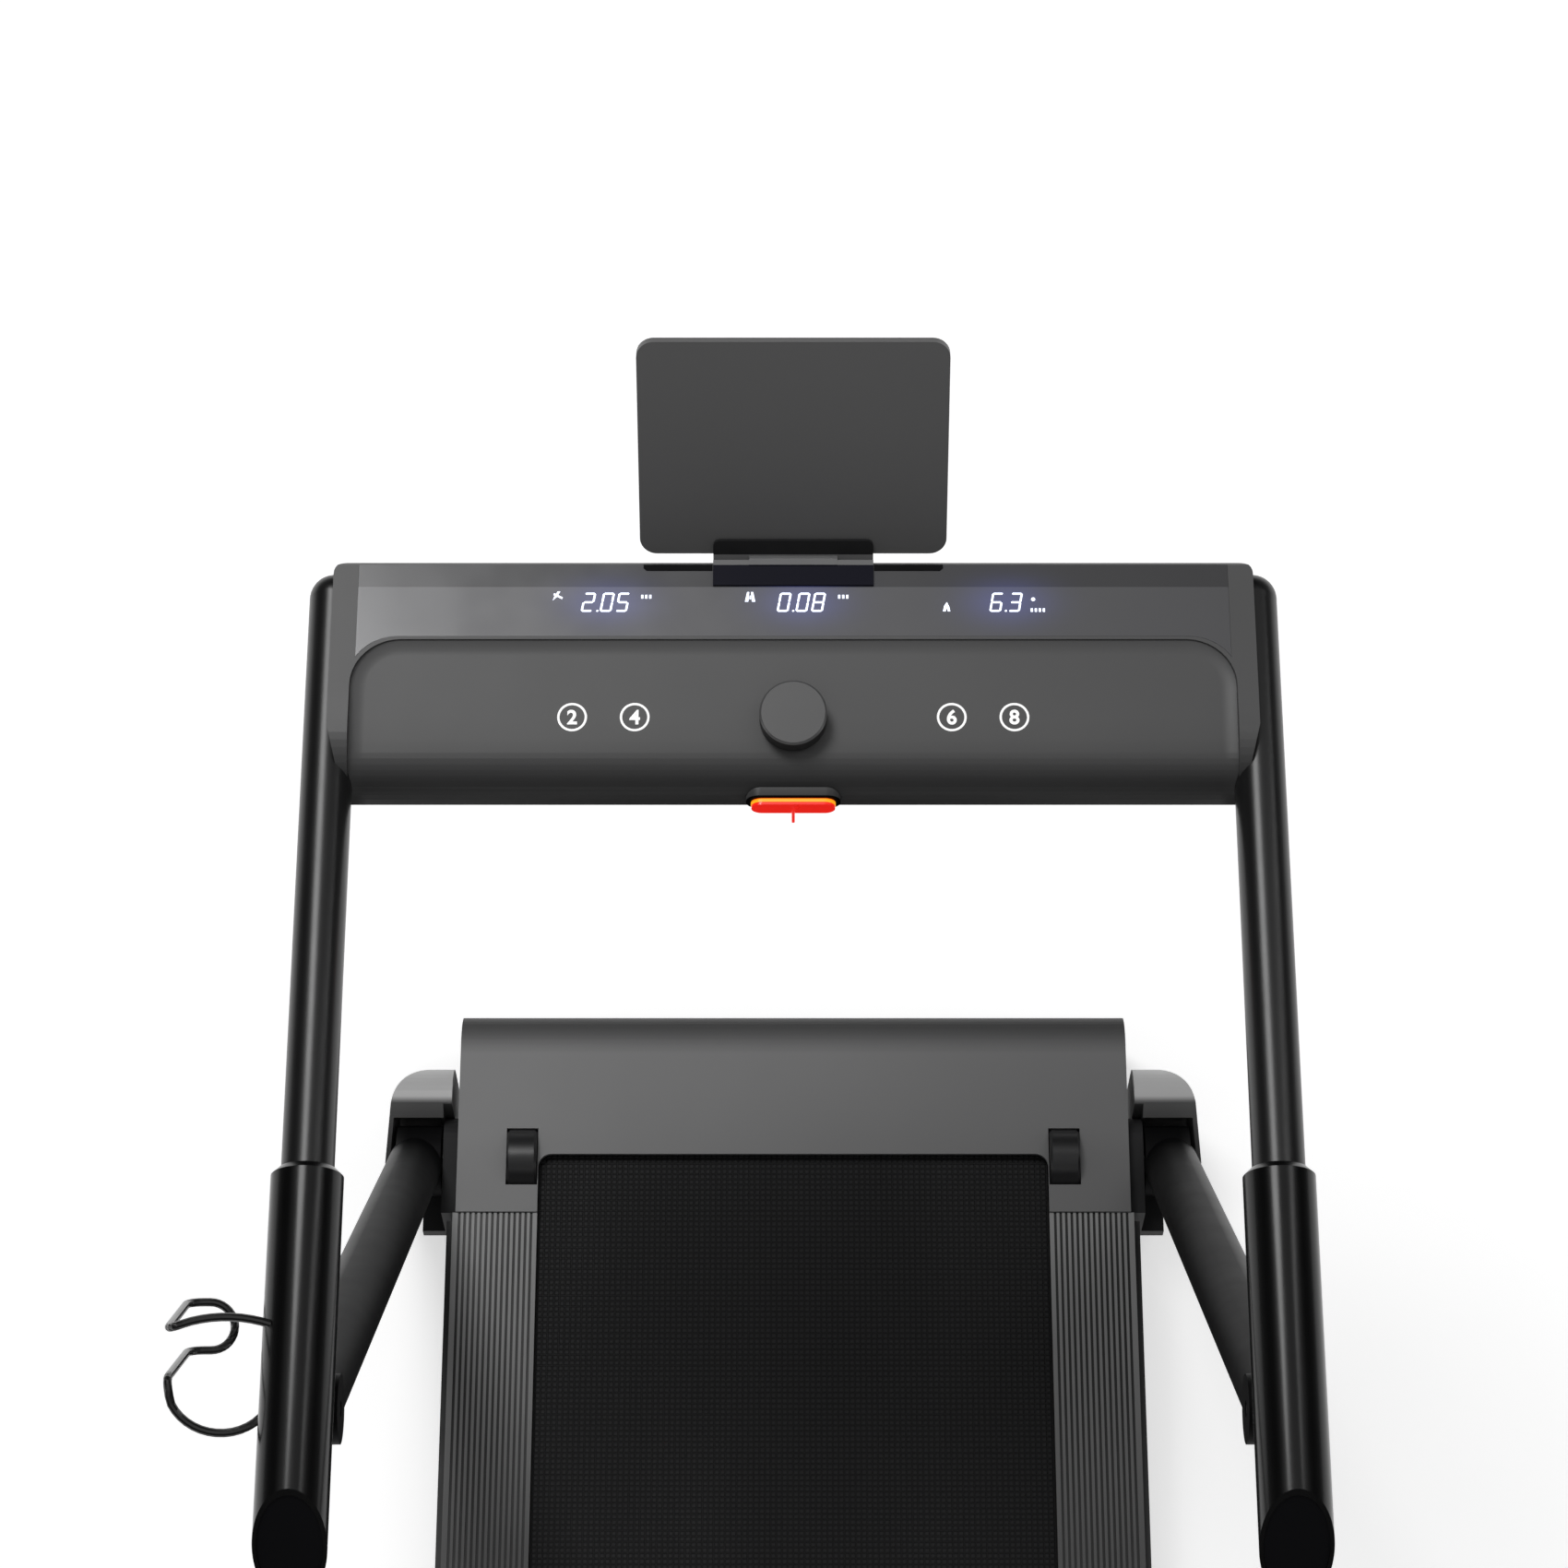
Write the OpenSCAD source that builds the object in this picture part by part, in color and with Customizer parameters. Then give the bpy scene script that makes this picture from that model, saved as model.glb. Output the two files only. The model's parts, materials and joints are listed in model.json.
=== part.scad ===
// Folding treadmill: a low deck with a running belt, two swinging arms and a level
// handrail frame that carries the console. Millimetres, +X right, +Y forward, +Z up.
// The origin is on the floor, at the middle of the deck's length and width.

/* [Deck] */
// Length of the deck over the rear caps and the motor hood
deck_l = 1430; // [1380:5:1500]
// Height of the foot rails' top above the floor
deck_h = 110; // [108:1:116]
// Half of the width of the belt opening between the foot rails
belt_gap = 231.5; // [228:0.5:234]
// Width of the running belt
belt_w = 462; // [450:1:462]
// Height of the belt's running surface above the floor
belt_z = 102; // [101:0.5:102]
// Pitch of the grooves along the foot rails
groove_pitch = 5; // [4:0.5:6]

/* [Motor hood] */
// Half of the width of the motor hood
hood_hw = 305.3; // [304:0.1:307]
// Length of the hood over its side legs
hood_l = 199; // [190:1:205]
// Radius of the hood's front edge
hood_round = 38; // [25:1:45]
// Radius of the two rollers in the hood's top
hood_roller_r = 29; // [26:0.5:29]

/* [Arms and handrail] */
// Distance of the arm and handrail planes from the middle
side_x = 345; // [344:0.5:350]
// Height of the arm's lower pivot above the floor
pivot_z = 75; // [72:1:80]
// Place of the arm's lower pivot along the deck
pivot_y = 577; // [570:1:580]
// Height of the handrail tube's axis above the floor
rail_z = 925; // [900:5:950]
// Drop from the handrail's axis to the hinge under it
hinge_drop = 56; // [54:1:60]
// Place of the upper hinge along the deck when it stands
hinge_y = 114.6; // [100:0.1:130]
// Outer radius of the arm tube
arm_r = 25; // [22:0.5:25]
// Outer radius of the handrail tube
rail_r = 19; // [17:0.5:20]
// Outer radius of the foam grip
grip_r = 26; // [24:0.5:26.5]

/* [Console] */
// Half of the width of the console
console_hw = 344; // [340:0.5:344]
// Place of the console's front lower edge along the deck
console_front = 566; // [560:1:570]
// Place of the console's rear edge along the deck
console_back = 745; // [740:1:750]
// Height of the console's flat top
console_top = 952; // [950:0.5:955]
// Radius of the speed knob
knob_r = 25; // [20:0.5:28]
// Width of the tablet panel
tablet_w = 230; // [200:5:260]
// Height of the tablet panel along its slope
tablet_h = 178; // [150:2:190]

/* [Hidden] */

$fn = 48;
slip = 0.05;                         // radial clearance of a turning pin in its bore
deck_front = deck_l / 2;
deck_rear = -deck_l / 2;

// Steel frame
frame_x = 264;                       // inner face of a frame rail
frame_w = 20;
frame_z = 40;
frame_top = 90;
frame_wall = 2.5;
frame_rear = deck_rear + 15;
frame_front = deck_front - 9;
cross_y = [-600, -220, 160, 500];
cross_w = 30;
cross_z = 55;
cross_top = 77;

// Rubber feet
foot_front_y = 640;
foot_rear_y = deck_rear + 75;
foot_r = 22;
foot_h = 12;
foot_column_r = 14;

// Belt and rollers
belt_t = 1.8;
roller_r = 24;
roller_gap = 0.2;
roller_z = belt_z - belt_t - roller_gap - roller_r;
rear_roller_y = deck_rear + 35;
front_roller_y = deck_front - 113;
shaft_r = 8;
bearing_r = 16;
bearing_w = 12;
bush_r = 12;
board_top = belt_z - belt_t - 0.4;
board_t = 18;
board_hw = 255;

// Drive
motor_y = deck_front - 43;
motor_z = 66;
motor_r = 36;
rotor_r = 7;
pulley_r = 30;
motor_pulley_r = 14;
pulley_x = 286;
pulley_w = 14;
drive_belt_t = 2;
drive_belt_gap = 0.3;

// Foot rails, trims and caps
rail_out = 308;
rail_rear = deck_rear + 55;
hood_back = deck_front - hood_l;
trim_out = 314;
groove_w = 2.4;
groove_d = 1.2;
groove_count = 14;

// Hood
hood_t = 3;
hood_low = 28;
hood_top = deck_h + 2;
hood_mouth_y = hood_back + 55;
hood_roller_x = 246.5;
hood_roller_w = 27;
hood_roller_y = hood_back + 52.6;
hood_roller_z = hood_top + 15 - hood_roller_r;
axle_r = 5;

// Mains panel at the hood's front
mains_z = 50;
inlet_x = -200;
switch_x = -150;
rocker_y = deck_front - 5;
rocker_rest = -7;
rocker_pin_r = 1.5;

// Lower pivot
plate_x = 306.5;
plate_t = 13;
pivot_pin_r = 10;
knuckle_r = 32;
knuckle_x = side_x + 17;             // outer face of the knuckle
shroud_out = 375.5;
shroud_t = 4;
shroud_cavity_r = 44;
shroud_corner = 48;
shroud_front = 661;
shroud_top = 117;

// Arm from the pivot to the hinge under the handrail
hinge_z = rail_z - hinge_drop;
arm_dy = hinge_y - pivot_y;
arm_dz = hinge_z - pivot_z;
arm_l = sqrt(arm_dy * arm_dy + arm_dz * arm_dz);
arm_tilt = atan2(-arm_dy, arm_dz);   // lean from upright, backwards
hinge_pin_r = 6;
lug_w = 15;
lug_r = 20;
fork_gap = 18;
tube_wall = 2.5;

// Grip and its slanted end
grip_front = 273;
cut_top_y = 35;                      // the slant meets the grip's top here
cut_low_y = -32;                     // and its underside here
cap_r = 23;
rail_tube_rear = 48;

// Console
console_low = 893;
console_split = 905;
recess_hw = 328.6;
recess_y = 680;
recess_round = 37;
recess_z0 = console_top - 1.7;       // height of the recess floor at its upper edge
recess_slope = 6.65;
roll_r = 30;
glass_t = 2;
knob_y = 618;
key_z = 916;
key_hw = 31;

// Tablet panel and its ledge
tablet_y = 755;
tablet_z = 945;
tablet_t = 7;
tablet_lean = 32.7;
ledge_w = 120;

// Bottle cage: a bent wire in a frame that leans back from upright
wire_r = 3.1;
cage_y = 125;
cage_lean = 27.5;
cage_depth = 107;
cage_leg_u = 91;                     // distance of the wire's drops from the grip's axis
cage_front_w = 30;
cage_rear_w = -5;
cage_bend = 12;

// ---------------------------------------------------------------- shared shapes
// A 2-D outline in (Y, Z) drawn out along X between two planes.
module along_x(x0, x1) {
    translate([x0, 0, 0]) rotate([90, 0, 90]) linear_extrude(x1 - x0) children();
}

// A cylinder along X at (y, z).
module rod_x(x0, x1, y, z, r) {
    translate([x0, y, z]) rotate([0, 90, 0]) cylinder(h = x1 - x0, r = r);
}

// A box given by its low and high corners.
module block(lo, hi) {
    translate(lo) cube(hi - lo);
}

module both_sides() {
    children();
    mirror([1, 0, 0]) children();
}

function arc(c, r, a0, a1, n) =
    [for (i = [0:n]) c + r * [cos(a0 + (a1 - a0) * i / n), sin(a0 + (a1 - a0) * i / n)]];

// Outline of a belt that runs round two equal rollers.
module loop_outline(y0, y1, z, r) {
    translate([y0, z]) circle(r);
    translate([y1, z]) circle(r);
    translate([y0, z - r]) square([y1 - y0, 2 * r]);
}

// ---------------------------------------------------------------- frame and deck
module frame_rail() {
    color("dimgray") difference() {
        block([frame_x, frame_rear, frame_z], [frame_x + frame_w, frame_front, frame_top]);
        block([frame_x + frame_wall, frame_rear - 1, frame_z + frame_wall],
            [frame_x + frame_w - frame_wall, frame_front + 1, frame_top - frame_wall]);
        rod_x(frame_x - 1, frame_x + frame_w + 1, rear_roller_y, roller_z, shaft_r + slip);
        rod_x(frame_x - 1, frame_x + frame_w + 1, front_roller_y, roller_z, bush_r + 0.06);
        rod_x(frame_x - 1, frame_x + frame_w + 1, motor_y, motor_z, rotor_r + 2);
    }
}

module crossmembers() {
    color("dimgray") for (y = cross_y) difference() {
        block([-frame_x, y - cross_w / 2, cross_z], [frame_x, y + cross_w / 2, cross_top]);
        block([-frame_x - 1, y - cross_w / 2 + frame_wall, cross_z + frame_wall],
            [frame_x + 1, y + cross_w / 2 - frame_wall, cross_top - frame_wall]);
    }
}

module deck_board() {
    color("burlywood") block([-board_hw, deck_rear + 75, board_top - board_t],
        [board_hw, deck_front - 185, board_top]);
}

module deck_cushions() {
    cushion_r = 14;
    color("black") for (y = cross_y, x = [-190, 190])
        translate([x, y, cross_top]) cylinder(h = board_top - board_t - cross_top, r = cushion_r);
}

module running_belt() {
    color("#141414") along_x(-belt_w / 2, belt_w / 2) difference() {
        loop_outline(rear_roller_y, front_roller_y, roller_z, roller_r + roller_gap + belt_t);
        loop_outline(rear_roller_y, front_roller_y, roller_z, roller_r + roller_gap);
    }
}

// Grooved foot rail: a C section with a rib that sits on the frame rail.
module foot_rail() {
    skin = 4;
    lip_z = belt_z + 2;
    skirt_z = 92;
    rib_in = frame_x - 2;
    rib_out = frame_x + frame_w + 2;
    groove_x0 = belt_gap + 4;
    color("#4a4a4a") difference() {
        translate([0, hood_back - 0.4, 0]) rotate([90, 0, 0])
            linear_extrude(hood_back - 0.4 - rail_rear)
                polygon([[belt_gap, lip_z], [belt_gap, deck_h], [rail_out, deck_h],
                    [rail_out, skirt_z], [rail_out - 3, skirt_z], [rail_out - 3, deck_h - skin],
                    [rib_out, deck_h - skin], [rib_out, frame_top], [rib_in, frame_top],
                    [rib_in, deck_h - skin], [belt_gap + 3, deck_h - skin], [belt_gap + 3, lip_z]]);
        for (i = [0:groove_count - 1])
            block([groove_x0 + i * groove_pitch, rail_rear - 1, deck_h - groove_d],
                [groove_x0 + i * groove_pitch + groove_w, hood_back, deck_h + 1]);
    }
}

module side_trim() {
    color("#161616") block([rail_out + 0.2, rail_rear, 34], [trim_out, hood_back - 4, 97]);
}

module rear_cap() {
    wall = 3;
    access_r = 6;
    color("#2b2b2b") difference() {
        intersection() {
            block([belt_gap, deck_rear, hood_low], [trim_out, rail_rear - 0.3, deck_h]);
            along_x(0, trim_out + 1) polygon(concat(
                [[rail_rear, hood_low], [rail_rear, deck_h]],
                arc([deck_rear + 14, deck_h - 14], 14, 90, 180, 8), [[deck_rear, hood_low]]));
        }
        block([belt_gap + wall, deck_rear + wall, hood_low - 1],
            [trim_out - wall, rail_rear + 1, deck_h - wall]);
        block([belt_gap - 1, rear_roller_y - shaft_r - 4, roller_z - shaft_r - 4],
            [belt_gap + wall + 1, rail_rear + 1, roller_z + shaft_r + 4]);
        translate([frame_x + frame_w / 2, deck_rear - 1, roller_z]) rotate([-90, 0, 0])
            cylinder(h = wall + 2, r = access_r);
    }
}

module rear_caps() { both_sides() rear_cap(); }

// ---------------------------------------------------------------- rollers and drive
module roller_tube(y, bore) {
    difference() {
        rod_x(-belt_w / 2, belt_w / 2, y, roller_z, roller_r);
        rod_x(-belt_w / 2 - 1, belt_w / 2 + 1, y, roller_z, bore);
    }
}

module rear_roller() {
    color("silver") roller_tube(rear_roller_y, bearing_r);
}

module rear_roller_bearings() {
    color("lightgray") both_sides() difference() {
        rod_x(belt_w / 2 - bearing_w, belt_w / 2, rear_roller_y, roller_z, bearing_r);
        rod_x(belt_w / 2 - bearing_w - 1, belt_w / 2 + 1, rear_roller_y, roller_z, shaft_r + slip);
    }
}

module rear_roller_shaft() {
    end_x = frame_x + frame_w;
    color("silver") rod_x(-end_x, end_x, rear_roller_y, roller_z, shaft_r);
}

module tension_bolts() {
    bolt_r = 4;
    head_r = 5.5;
    head_l = 6;
    color("gray") both_sides() translate([frame_x + frame_w / 2, deck_rear + 4, roller_z])
        rotate([-90, 0, 0]) {
            cylinder(h = head_l, r = head_r, $fn = 6);
            cylinder(h = rear_roller_y - shaft_r - deck_rear - 4, r = bolt_r);
        }
}

module front_roller() {
    color("silver") {
        rod_x(-belt_w / 2, belt_w / 2, front_roller_y, roller_z, roller_r);
        rod_x(-frame_x - frame_w, pulley_x + pulley_w, front_roller_y, roller_z, shaft_r);
    }
}

module front_bushings() {
    color("goldenrod") both_sides() difference() {
        rod_x(frame_x, frame_x + frame_w, front_roller_y, roller_z, bush_r);
        rod_x(frame_x - 1, frame_x + frame_w + 1, front_roller_y, roller_z, shaft_r + slip);
    }
}

module drive_pulley() {
    holes = 5;
    color("gray") difference() {
        rod_x(pulley_x, pulley_x + pulley_w, front_roller_y, roller_z, pulley_r);
        rod_x(pulley_x - 1, pulley_x + pulley_w + 1, front_roller_y, roller_z, shaft_r + 0.01);
        for (i = [0:holes - 1]) translate([0, front_roller_y, roller_z]) rotate([360 / holes * i, 0, 0])
            rod_x(pulley_x - 1, pulley_x + pulley_w + 1, 18, 0, 5);
    }
}

module drive_loop(grow) {
    hull() {
        translate([front_roller_y, roller_z]) circle(pulley_r + grow);
        translate([motor_y, motor_z]) circle(motor_pulley_r + grow);
    }
}

module drive_belt() {
    color("#101010") along_x(pulley_x + 2, pulley_x + pulley_w - 2) difference() {
        drive_loop(drive_belt_gap + drive_belt_t);
        drive_loop(drive_belt_gap);
    }
}

module motor_casing() {
    x0 = -60;
    x1 = 238;
    ribs = 12;
    color("#3c3c3c") difference() {
        union() {
            rod_x(x0, x1, motor_y, motor_z, motor_r);
            rod_x(x0 - 8, x0, motor_y, motor_z, motor_r - 12);
        }
        rod_x(x0 - 9, x1 + 1, motor_y, motor_z, rotor_r + 0.1);
        for (i = [0:ribs - 1]) translate([0, motor_y, motor_z]) rotate([360 / ribs * i, 0, 0])
            block([x0 + 30, motor_r - 3, -3], [x1 - 30, motor_r + 1, 3]);
    }
}

module motor_rotor() {
    flywheel_r = 33;
    color("silver") {
        rod_x(-75, pulley_x + pulley_w, motor_y, motor_z, rotor_r);
        rod_x(242, 256, motor_y, motor_z, flywheel_r);
        rod_x(pulley_x, pulley_x + pulley_w, motor_y, motor_z, motor_pulley_r);
    }
}

module motor_cradle() {
    plate_z = 28;
    plate_hl = 33;
    wall = 4;
    saddle_hl = 24;
    color("dimgray") difference() {
        union() {
            block([-frame_x, motor_y - plate_hl, plate_z], [frame_x, motor_y + plate_hl, plate_z + wall]);
            for (x = [-20, 170]) block([x, motor_y - saddle_hl, plate_z + wall],
                [x + 30, motor_y + saddle_hl, motor_z - 15]);
            both_sides() block([frame_x - wall, motor_y - plate_hl, plate_z],
                [frame_x, motor_y + plate_hl, frame_z + 20]);
        }
        rod_x(-80, 240, motor_y, motor_z, motor_r + 0.3);
        both_sides() rod_x(frame_x - 5, frame_x + 1, motor_y, motor_z, rotor_r + 2);
        both_sides() translate([frame_x + frame_w / 2, foot_front_y, 0])
            cylinder(h = frame_z, r = foot_column_r + 3);
    }
}

module control_board() {
    low = 35;                        // underside of the board, on its stand-offs
    top = low + 2;
    fins = 9;
    x0 = -250;
    x1 = -95;
    color("#1d4d2c") {
        block([x0, motor_y - 30, low], [x1, motor_y + 24, top]);
        for (x = [x0 + 5, x1 - 5], y = [motor_y - 26, motor_y + 20])
            translate([x, y, low - 3]) cylinder(h = 3.5, r = 3);
        for (x = [-140, -112]) translate([x, motor_y, top]) cylinder(h = 28, r = 12);
    }
    color("gray") {
        block([x0 + 5, motor_y - 20, top], [x0 + 72, motor_y + 20, top + 4]);
        for (i = [0:fins - 1])
            block([x0 + 5 + i * 8, motor_y - 20, top], [x0 + 8 + i * 8, motor_y + 20, top + 27]);
    }
}

// ---------------------------------------------------------------- hood and mains
module hood_outline(inset) {
    r = hood_round - inset;
    polygon(concat(
        [[hood_back - 60 * sign(inset), hood_low - inset], [hood_back - 60 * sign(inset), hood_top - inset]],
        arc([deck_front - hood_round, hood_top - hood_round], r, 90, 0, 12),
        [[deck_front - inset, hood_low - inset]]));
}

module motor_hood() {
    mouth_round = 12;
    color("#5a5a5a") difference() {
        along_x(-hood_hw, hood_hw) hood_outline(0);
        along_x(-hood_hw + hood_t, hood_hw - hood_t) hood_outline(hood_t);
        // Mouth over the belt, with round corners
        translate([0, 0, belt_z - 40]) linear_extrude(80) {
            translate([-belt_gap, hood_back - 1])
                square([2 * belt_gap, hood_mouth_y - mouth_round - hood_back + 1]);
            translate([-belt_gap + mouth_round, hood_mouth_y - mouth_round - 1])
                square([2 * (belt_gap - mouth_round), mouth_round + 1]);
            for (x = [-1, 1]) translate([x * (belt_gap - mouth_round), hood_mouth_y - mouth_round])
                circle(mouth_round);
        }
        // Slots for the two rollers
        both_sides() block([hood_roller_x - hood_roller_w / 2 - 0.8, hood_roller_y - 27, hood_top - 10],
            [hood_roller_x + hood_roller_w / 2 + 0.8, hood_roller_y + 27, hood_top + 1]);
        // Room for the pivot brackets' feet
        both_sides() block([hood_hw - hood_t - 1, hood_back - 1, hood_low - 1],
            [hood_hw + 1, hood_back + 48, 98]);
        // Mains inlet and switch
        for (x = [inlet_x, switch_x]) block([x - 14.3, deck_front - hood_t - 1, mains_z - 10.3],
            [x + 14.3, deck_front + 1, mains_z + 10.3]);
    }
}

module belly_pan() {
    color("#1a1a1a") difference() {
        block([-300, hood_back + 8, hood_low - 3.5], [300, deck_front - 3, hood_low - 0.5]);
        for (x = [-200:40:200], y = [hood_back + 40, hood_back + 60])
            block([x - 14, y - 3, hood_low - 5], [x + 14, y + 3, hood_low + 1]);
        both_sides() translate([frame_x + frame_w / 2, foot_front_y, hood_low - 5])
            cylinder(h = 7, r = foot_r + 2);
    }
}

module hood_roller() {
    edge = 2;
    w = hood_roller_w / 2;
    color("#2a2a2a") translate([hood_roller_x, hood_roller_y, hood_roller_z]) rotate([0, 90, 0])
        rotate_extrude() polygon([[axle_r + slip, -w], [hood_roller_r - edge, -w],
            [hood_roller_r, -w + edge], [hood_roller_r, w - edge], [hood_roller_r - edge, w],
            [axle_r + slip, w]]);
}

module hood_roller_axles() {
    color("silver") both_sides()
        rod_x(hood_roller_x - hood_roller_w / 2, frame_x + frame_w, hood_roller_y, hood_roller_z, axle_r);
}

module hood_roller_brackets() {
    color("dimgray") both_sides() difference() {
        block([frame_x, hood_roller_y - 12, frame_top], [frame_x + frame_w, hood_roller_y + 12, 108]);
        rod_x(frame_x - 1, frame_x + frame_w + 1, hood_roller_y, hood_roller_z, axle_r);
    }
}

module power_inlet() {
    color("#1c1c1c") difference() {
        block([inlet_x - 14, deck_front - 18, mains_z - 10],
            [inlet_x + 14, deck_front + 1.5, mains_z + 10]);
        block([inlet_x - 11, deck_front - 12, mains_z - 7], [inlet_x + 11, deck_front + 2, mains_z + 7]);
    }
    color("silver") for (x = [-6, 0, 6])
        block([inlet_x + x - 1, deck_front - 13, mains_z - 2], [inlet_x + x + 1, deck_front - 5, mains_z + 2]);
}

module switch_frame() {
    color("#1c1c1c") difference() {
        block([switch_x - 14, deck_front - 18, mains_z - 10],
            [switch_x + 14, deck_front + 1.5, mains_z + 10]);
        block([switch_x - 11, deck_front - 15, mains_z - 8.5],
            [switch_x + 11, deck_front + 2, mains_z + 8.5]);
        rod_x(switch_x - 13, switch_x + 13, rocker_y, mains_z, rocker_pin_r + slip);
    }
}

module power_rocker() {
    color("#b01818") {
        translate([switch_x, rocker_y, mains_z]) rotate([rocker_rest, 0, 0])
            along_x(-9.5, 9.5) polygon([[-4, -5], [3.2, -7.2], [2.6, 0], [3.2, 7.2], [-4, 5]]);
        rod_x(switch_x - 12.5, switch_x + 12.5, rocker_y, mains_z, rocker_pin_r);
    }
}

// ---------------------------------------------------------------- lower pivots
module pivot_bracket() {
    pad_x = frame_x + frame_w;
    color("#3a3a3a") difference() {
        union() {
            along_x(plate_x, plate_x + plate_t) polygon(concat(
                [[hood_back + 4, 30], [hood_back + 4, 96]],
                arc([pivot_y + 14, 74], 26, 90, 0, 8), [[pivot_y + 40, 30]]));
            block([pad_x, hood_back + 6, 46], [plate_x, hood_back + 44, 94]);
            block([plate_x, hood_back + 5, 28], [plate_x + 34, pivot_y - 2.5, 41]);
        }
        rod_x(plate_x - 1, plate_x + plate_t + 1, pivot_y, pivot_z, pivot_pin_r);
    }
}

module pivot_brackets() { both_sides() pivot_bracket(); }

module pivot_pins() {
    color("silver") both_sides()
        rod_x(plate_x, knuckle_x + 4, pivot_y, pivot_z, pivot_pin_r);
}

module shroud_side(grow) {
    r = 34 - grow;
    polygon(concat(
        [[pivot_y - 2, 24], [pivot_y - 2, pivot_z], [pivot_y + 42, shroud_top - grow]],
        arc([shroud_front - 34, shroud_top - 34], r, 84, 0, 10),
        [[shroud_front - grow, 24]]));
}

module shroud_plan(grow) {
    inner = plate_x + plate_t;
    taper = 8;
    polygon(concat([[inner + grow, pivot_y - 40], [shroud_out - grow, pivot_y - 40],
            [shroud_out - grow, pivot_y - 10]],
        arc([shroud_out - taper - shroud_corner, shroud_front - shroud_corner],
            shroud_corner - grow, 9, 90, 12),
        [[plate_x + 5 + grow, shroud_front - grow], [plate_x + 5 + grow, pivot_y + 41 + grow],
         [inner + grow, pivot_y + 41 + grow]]));
}

// Shell over the lower pivot: open to the arm at the back, with a hollow under its front.
module pivot_shroud() {
    color("#6a6a6a") difference() {
        intersection() {
            along_x(plate_x, shroud_out) shroud_side(0);
            linear_extrude(200) shroud_plan(0);
        }
        intersection() {
            rod_x(plate_x, shroud_out, pivot_y, pivot_z, shroud_cavity_r);
            block([plate_x, 300, 0], [shroud_out, 700, shroud_top - shroud_t]);
            union() {
                linear_extrude(200) shroud_plan(shroud_t);
                block([plate_x, 300, 0], [side_x, pivot_y + 38, 200]);
            }
        }
        difference() {
            intersection() {
                along_x(plate_x, shroud_out) shroud_side(shroud_t);
                translate([0, 0, -1]) linear_extrude(shroud_top) shroud_plan(shroud_t);
            }
            rod_x(plate_x - 1, shroud_out + 1, pivot_y, pivot_z, shroud_cavity_r + shroud_t);
            block([plate_x, 300, 0], [shroud_out, pivot_y + 20, 200]);
        }
    }
}

module corner_feet() {
    color("#0e0e0e") both_sides() for (y = [foot_rear_y, foot_front_y])
        translate([frame_x + frame_w / 2, y, 0]) {
            cylinder(h = foot_h, r1 = foot_r - 2, r2 = foot_r);
            translate([0, 0, foot_h]) cylinder(h = frame_z - foot_h, r = foot_column_r);
        }
}

module centre_foot() {
    color("#0e0e0e") {
        block([-frame_x - frame_w, -20, foot_h], [frame_x + frame_w, 20, frame_z]);
        block([-frame_x, -26, 0], [frame_x, 26, foot_h]);
    }
}

// ---------------------------------------------------------------- arms and handrail
module arm() {
    color("#1b1b1b") difference() {
        union() {
            translate([side_x, pivot_y, pivot_z]) rotate([arm_tilt, 0, 0]) difference() {
                translate([0, 0, 12]) cylinder(h = arm_l - 12, r = arm_r);
                translate([0, 0, 50]) cylinder(h = arm_l - 110, r = arm_r - tube_wall);
            }
            rod_x(plate_x + plate_t + 1.5, knuckle_x, pivot_y, pivot_z, knuckle_r);
            rod_x(side_x - arm_r, side_x + arm_r, hinge_y, hinge_z, arm_r);
        }
        rod_x(plate_x, side_x + 60, pivot_y, pivot_z, pivot_pin_r + slip);
        rod_x(side_x - 60, side_x + 60, hinge_y, hinge_z, hinge_pin_r);
        translate([side_x, hinge_y, hinge_z]) rotate([arm_tilt, 0, 0])
            block([-fork_gap / 2, -arm_r - 1, -lug_r - 4], [fork_gap / 2, arm_r + 1, arm_r + 1]);
    }
}

module hinge_pins() {
    color("silver") both_sides()
        rod_x(side_x - arm_r + 1, side_x + arm_r - 1, hinge_y, hinge_z, hinge_pin_r);
}

module rail_tube() {
    color("#1b1b1b") difference() {
        union() {
            translate([side_x, rail_tube_rear, rail_z]) rotate([-90, 0, 0])
                cylinder(h = console_back - rail_r - rail_tube_rear, r = rail_r);
            translate([side_x, console_back - rail_r, rail_z]) sphere(rail_r);
        }
        translate([side_x, rail_tube_rear - 1, rail_z]) rotate([-90, 0, 0])
            cylinder(h = console_back - rail_tube_rear - 2 * rail_r, r = rail_r - tube_wall);
    }
}

module hinge_lugs() {
    color("#1b1b1b") both_sides() difference() {
        union() {
            rod_x(side_x - lug_w / 2, side_x + lug_w / 2, hinge_y, hinge_z, lug_r);
            block([side_x - lug_w / 2, hinge_y - lug_r, hinge_z],
                [side_x + lug_w / 2, hinge_y + lug_r, rail_z]);
        }
        rod_x(side_x - lug_w, side_x + lug_w, hinge_y, hinge_z, hinge_pin_r + slip);
        translate([side_x, hinge_y - 40, rail_z]) rotate([-90, 0, 0]) cylinder(h = 80, r = rail_r);
    }
}

// Everything behind and below the grip's slanted cut.
module behind_cut(shift) {
    slope = (rail_z + grip_r - (rail_z - grip_r)) / (cut_top_y - cut_low_y);
    reach = 120;
    along_x(side_x - 60, side_x + 60) polygon([
        [cut_top_y + shift + reach, rail_z + grip_r + reach * slope],
        [cut_low_y + shift - reach, rail_z - grip_r - reach * slope],
        [cut_low_y - 300, rail_z - grip_r - reach * slope],
        [cut_low_y - 300, rail_z + grip_r + reach * slope]]);
}

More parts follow.
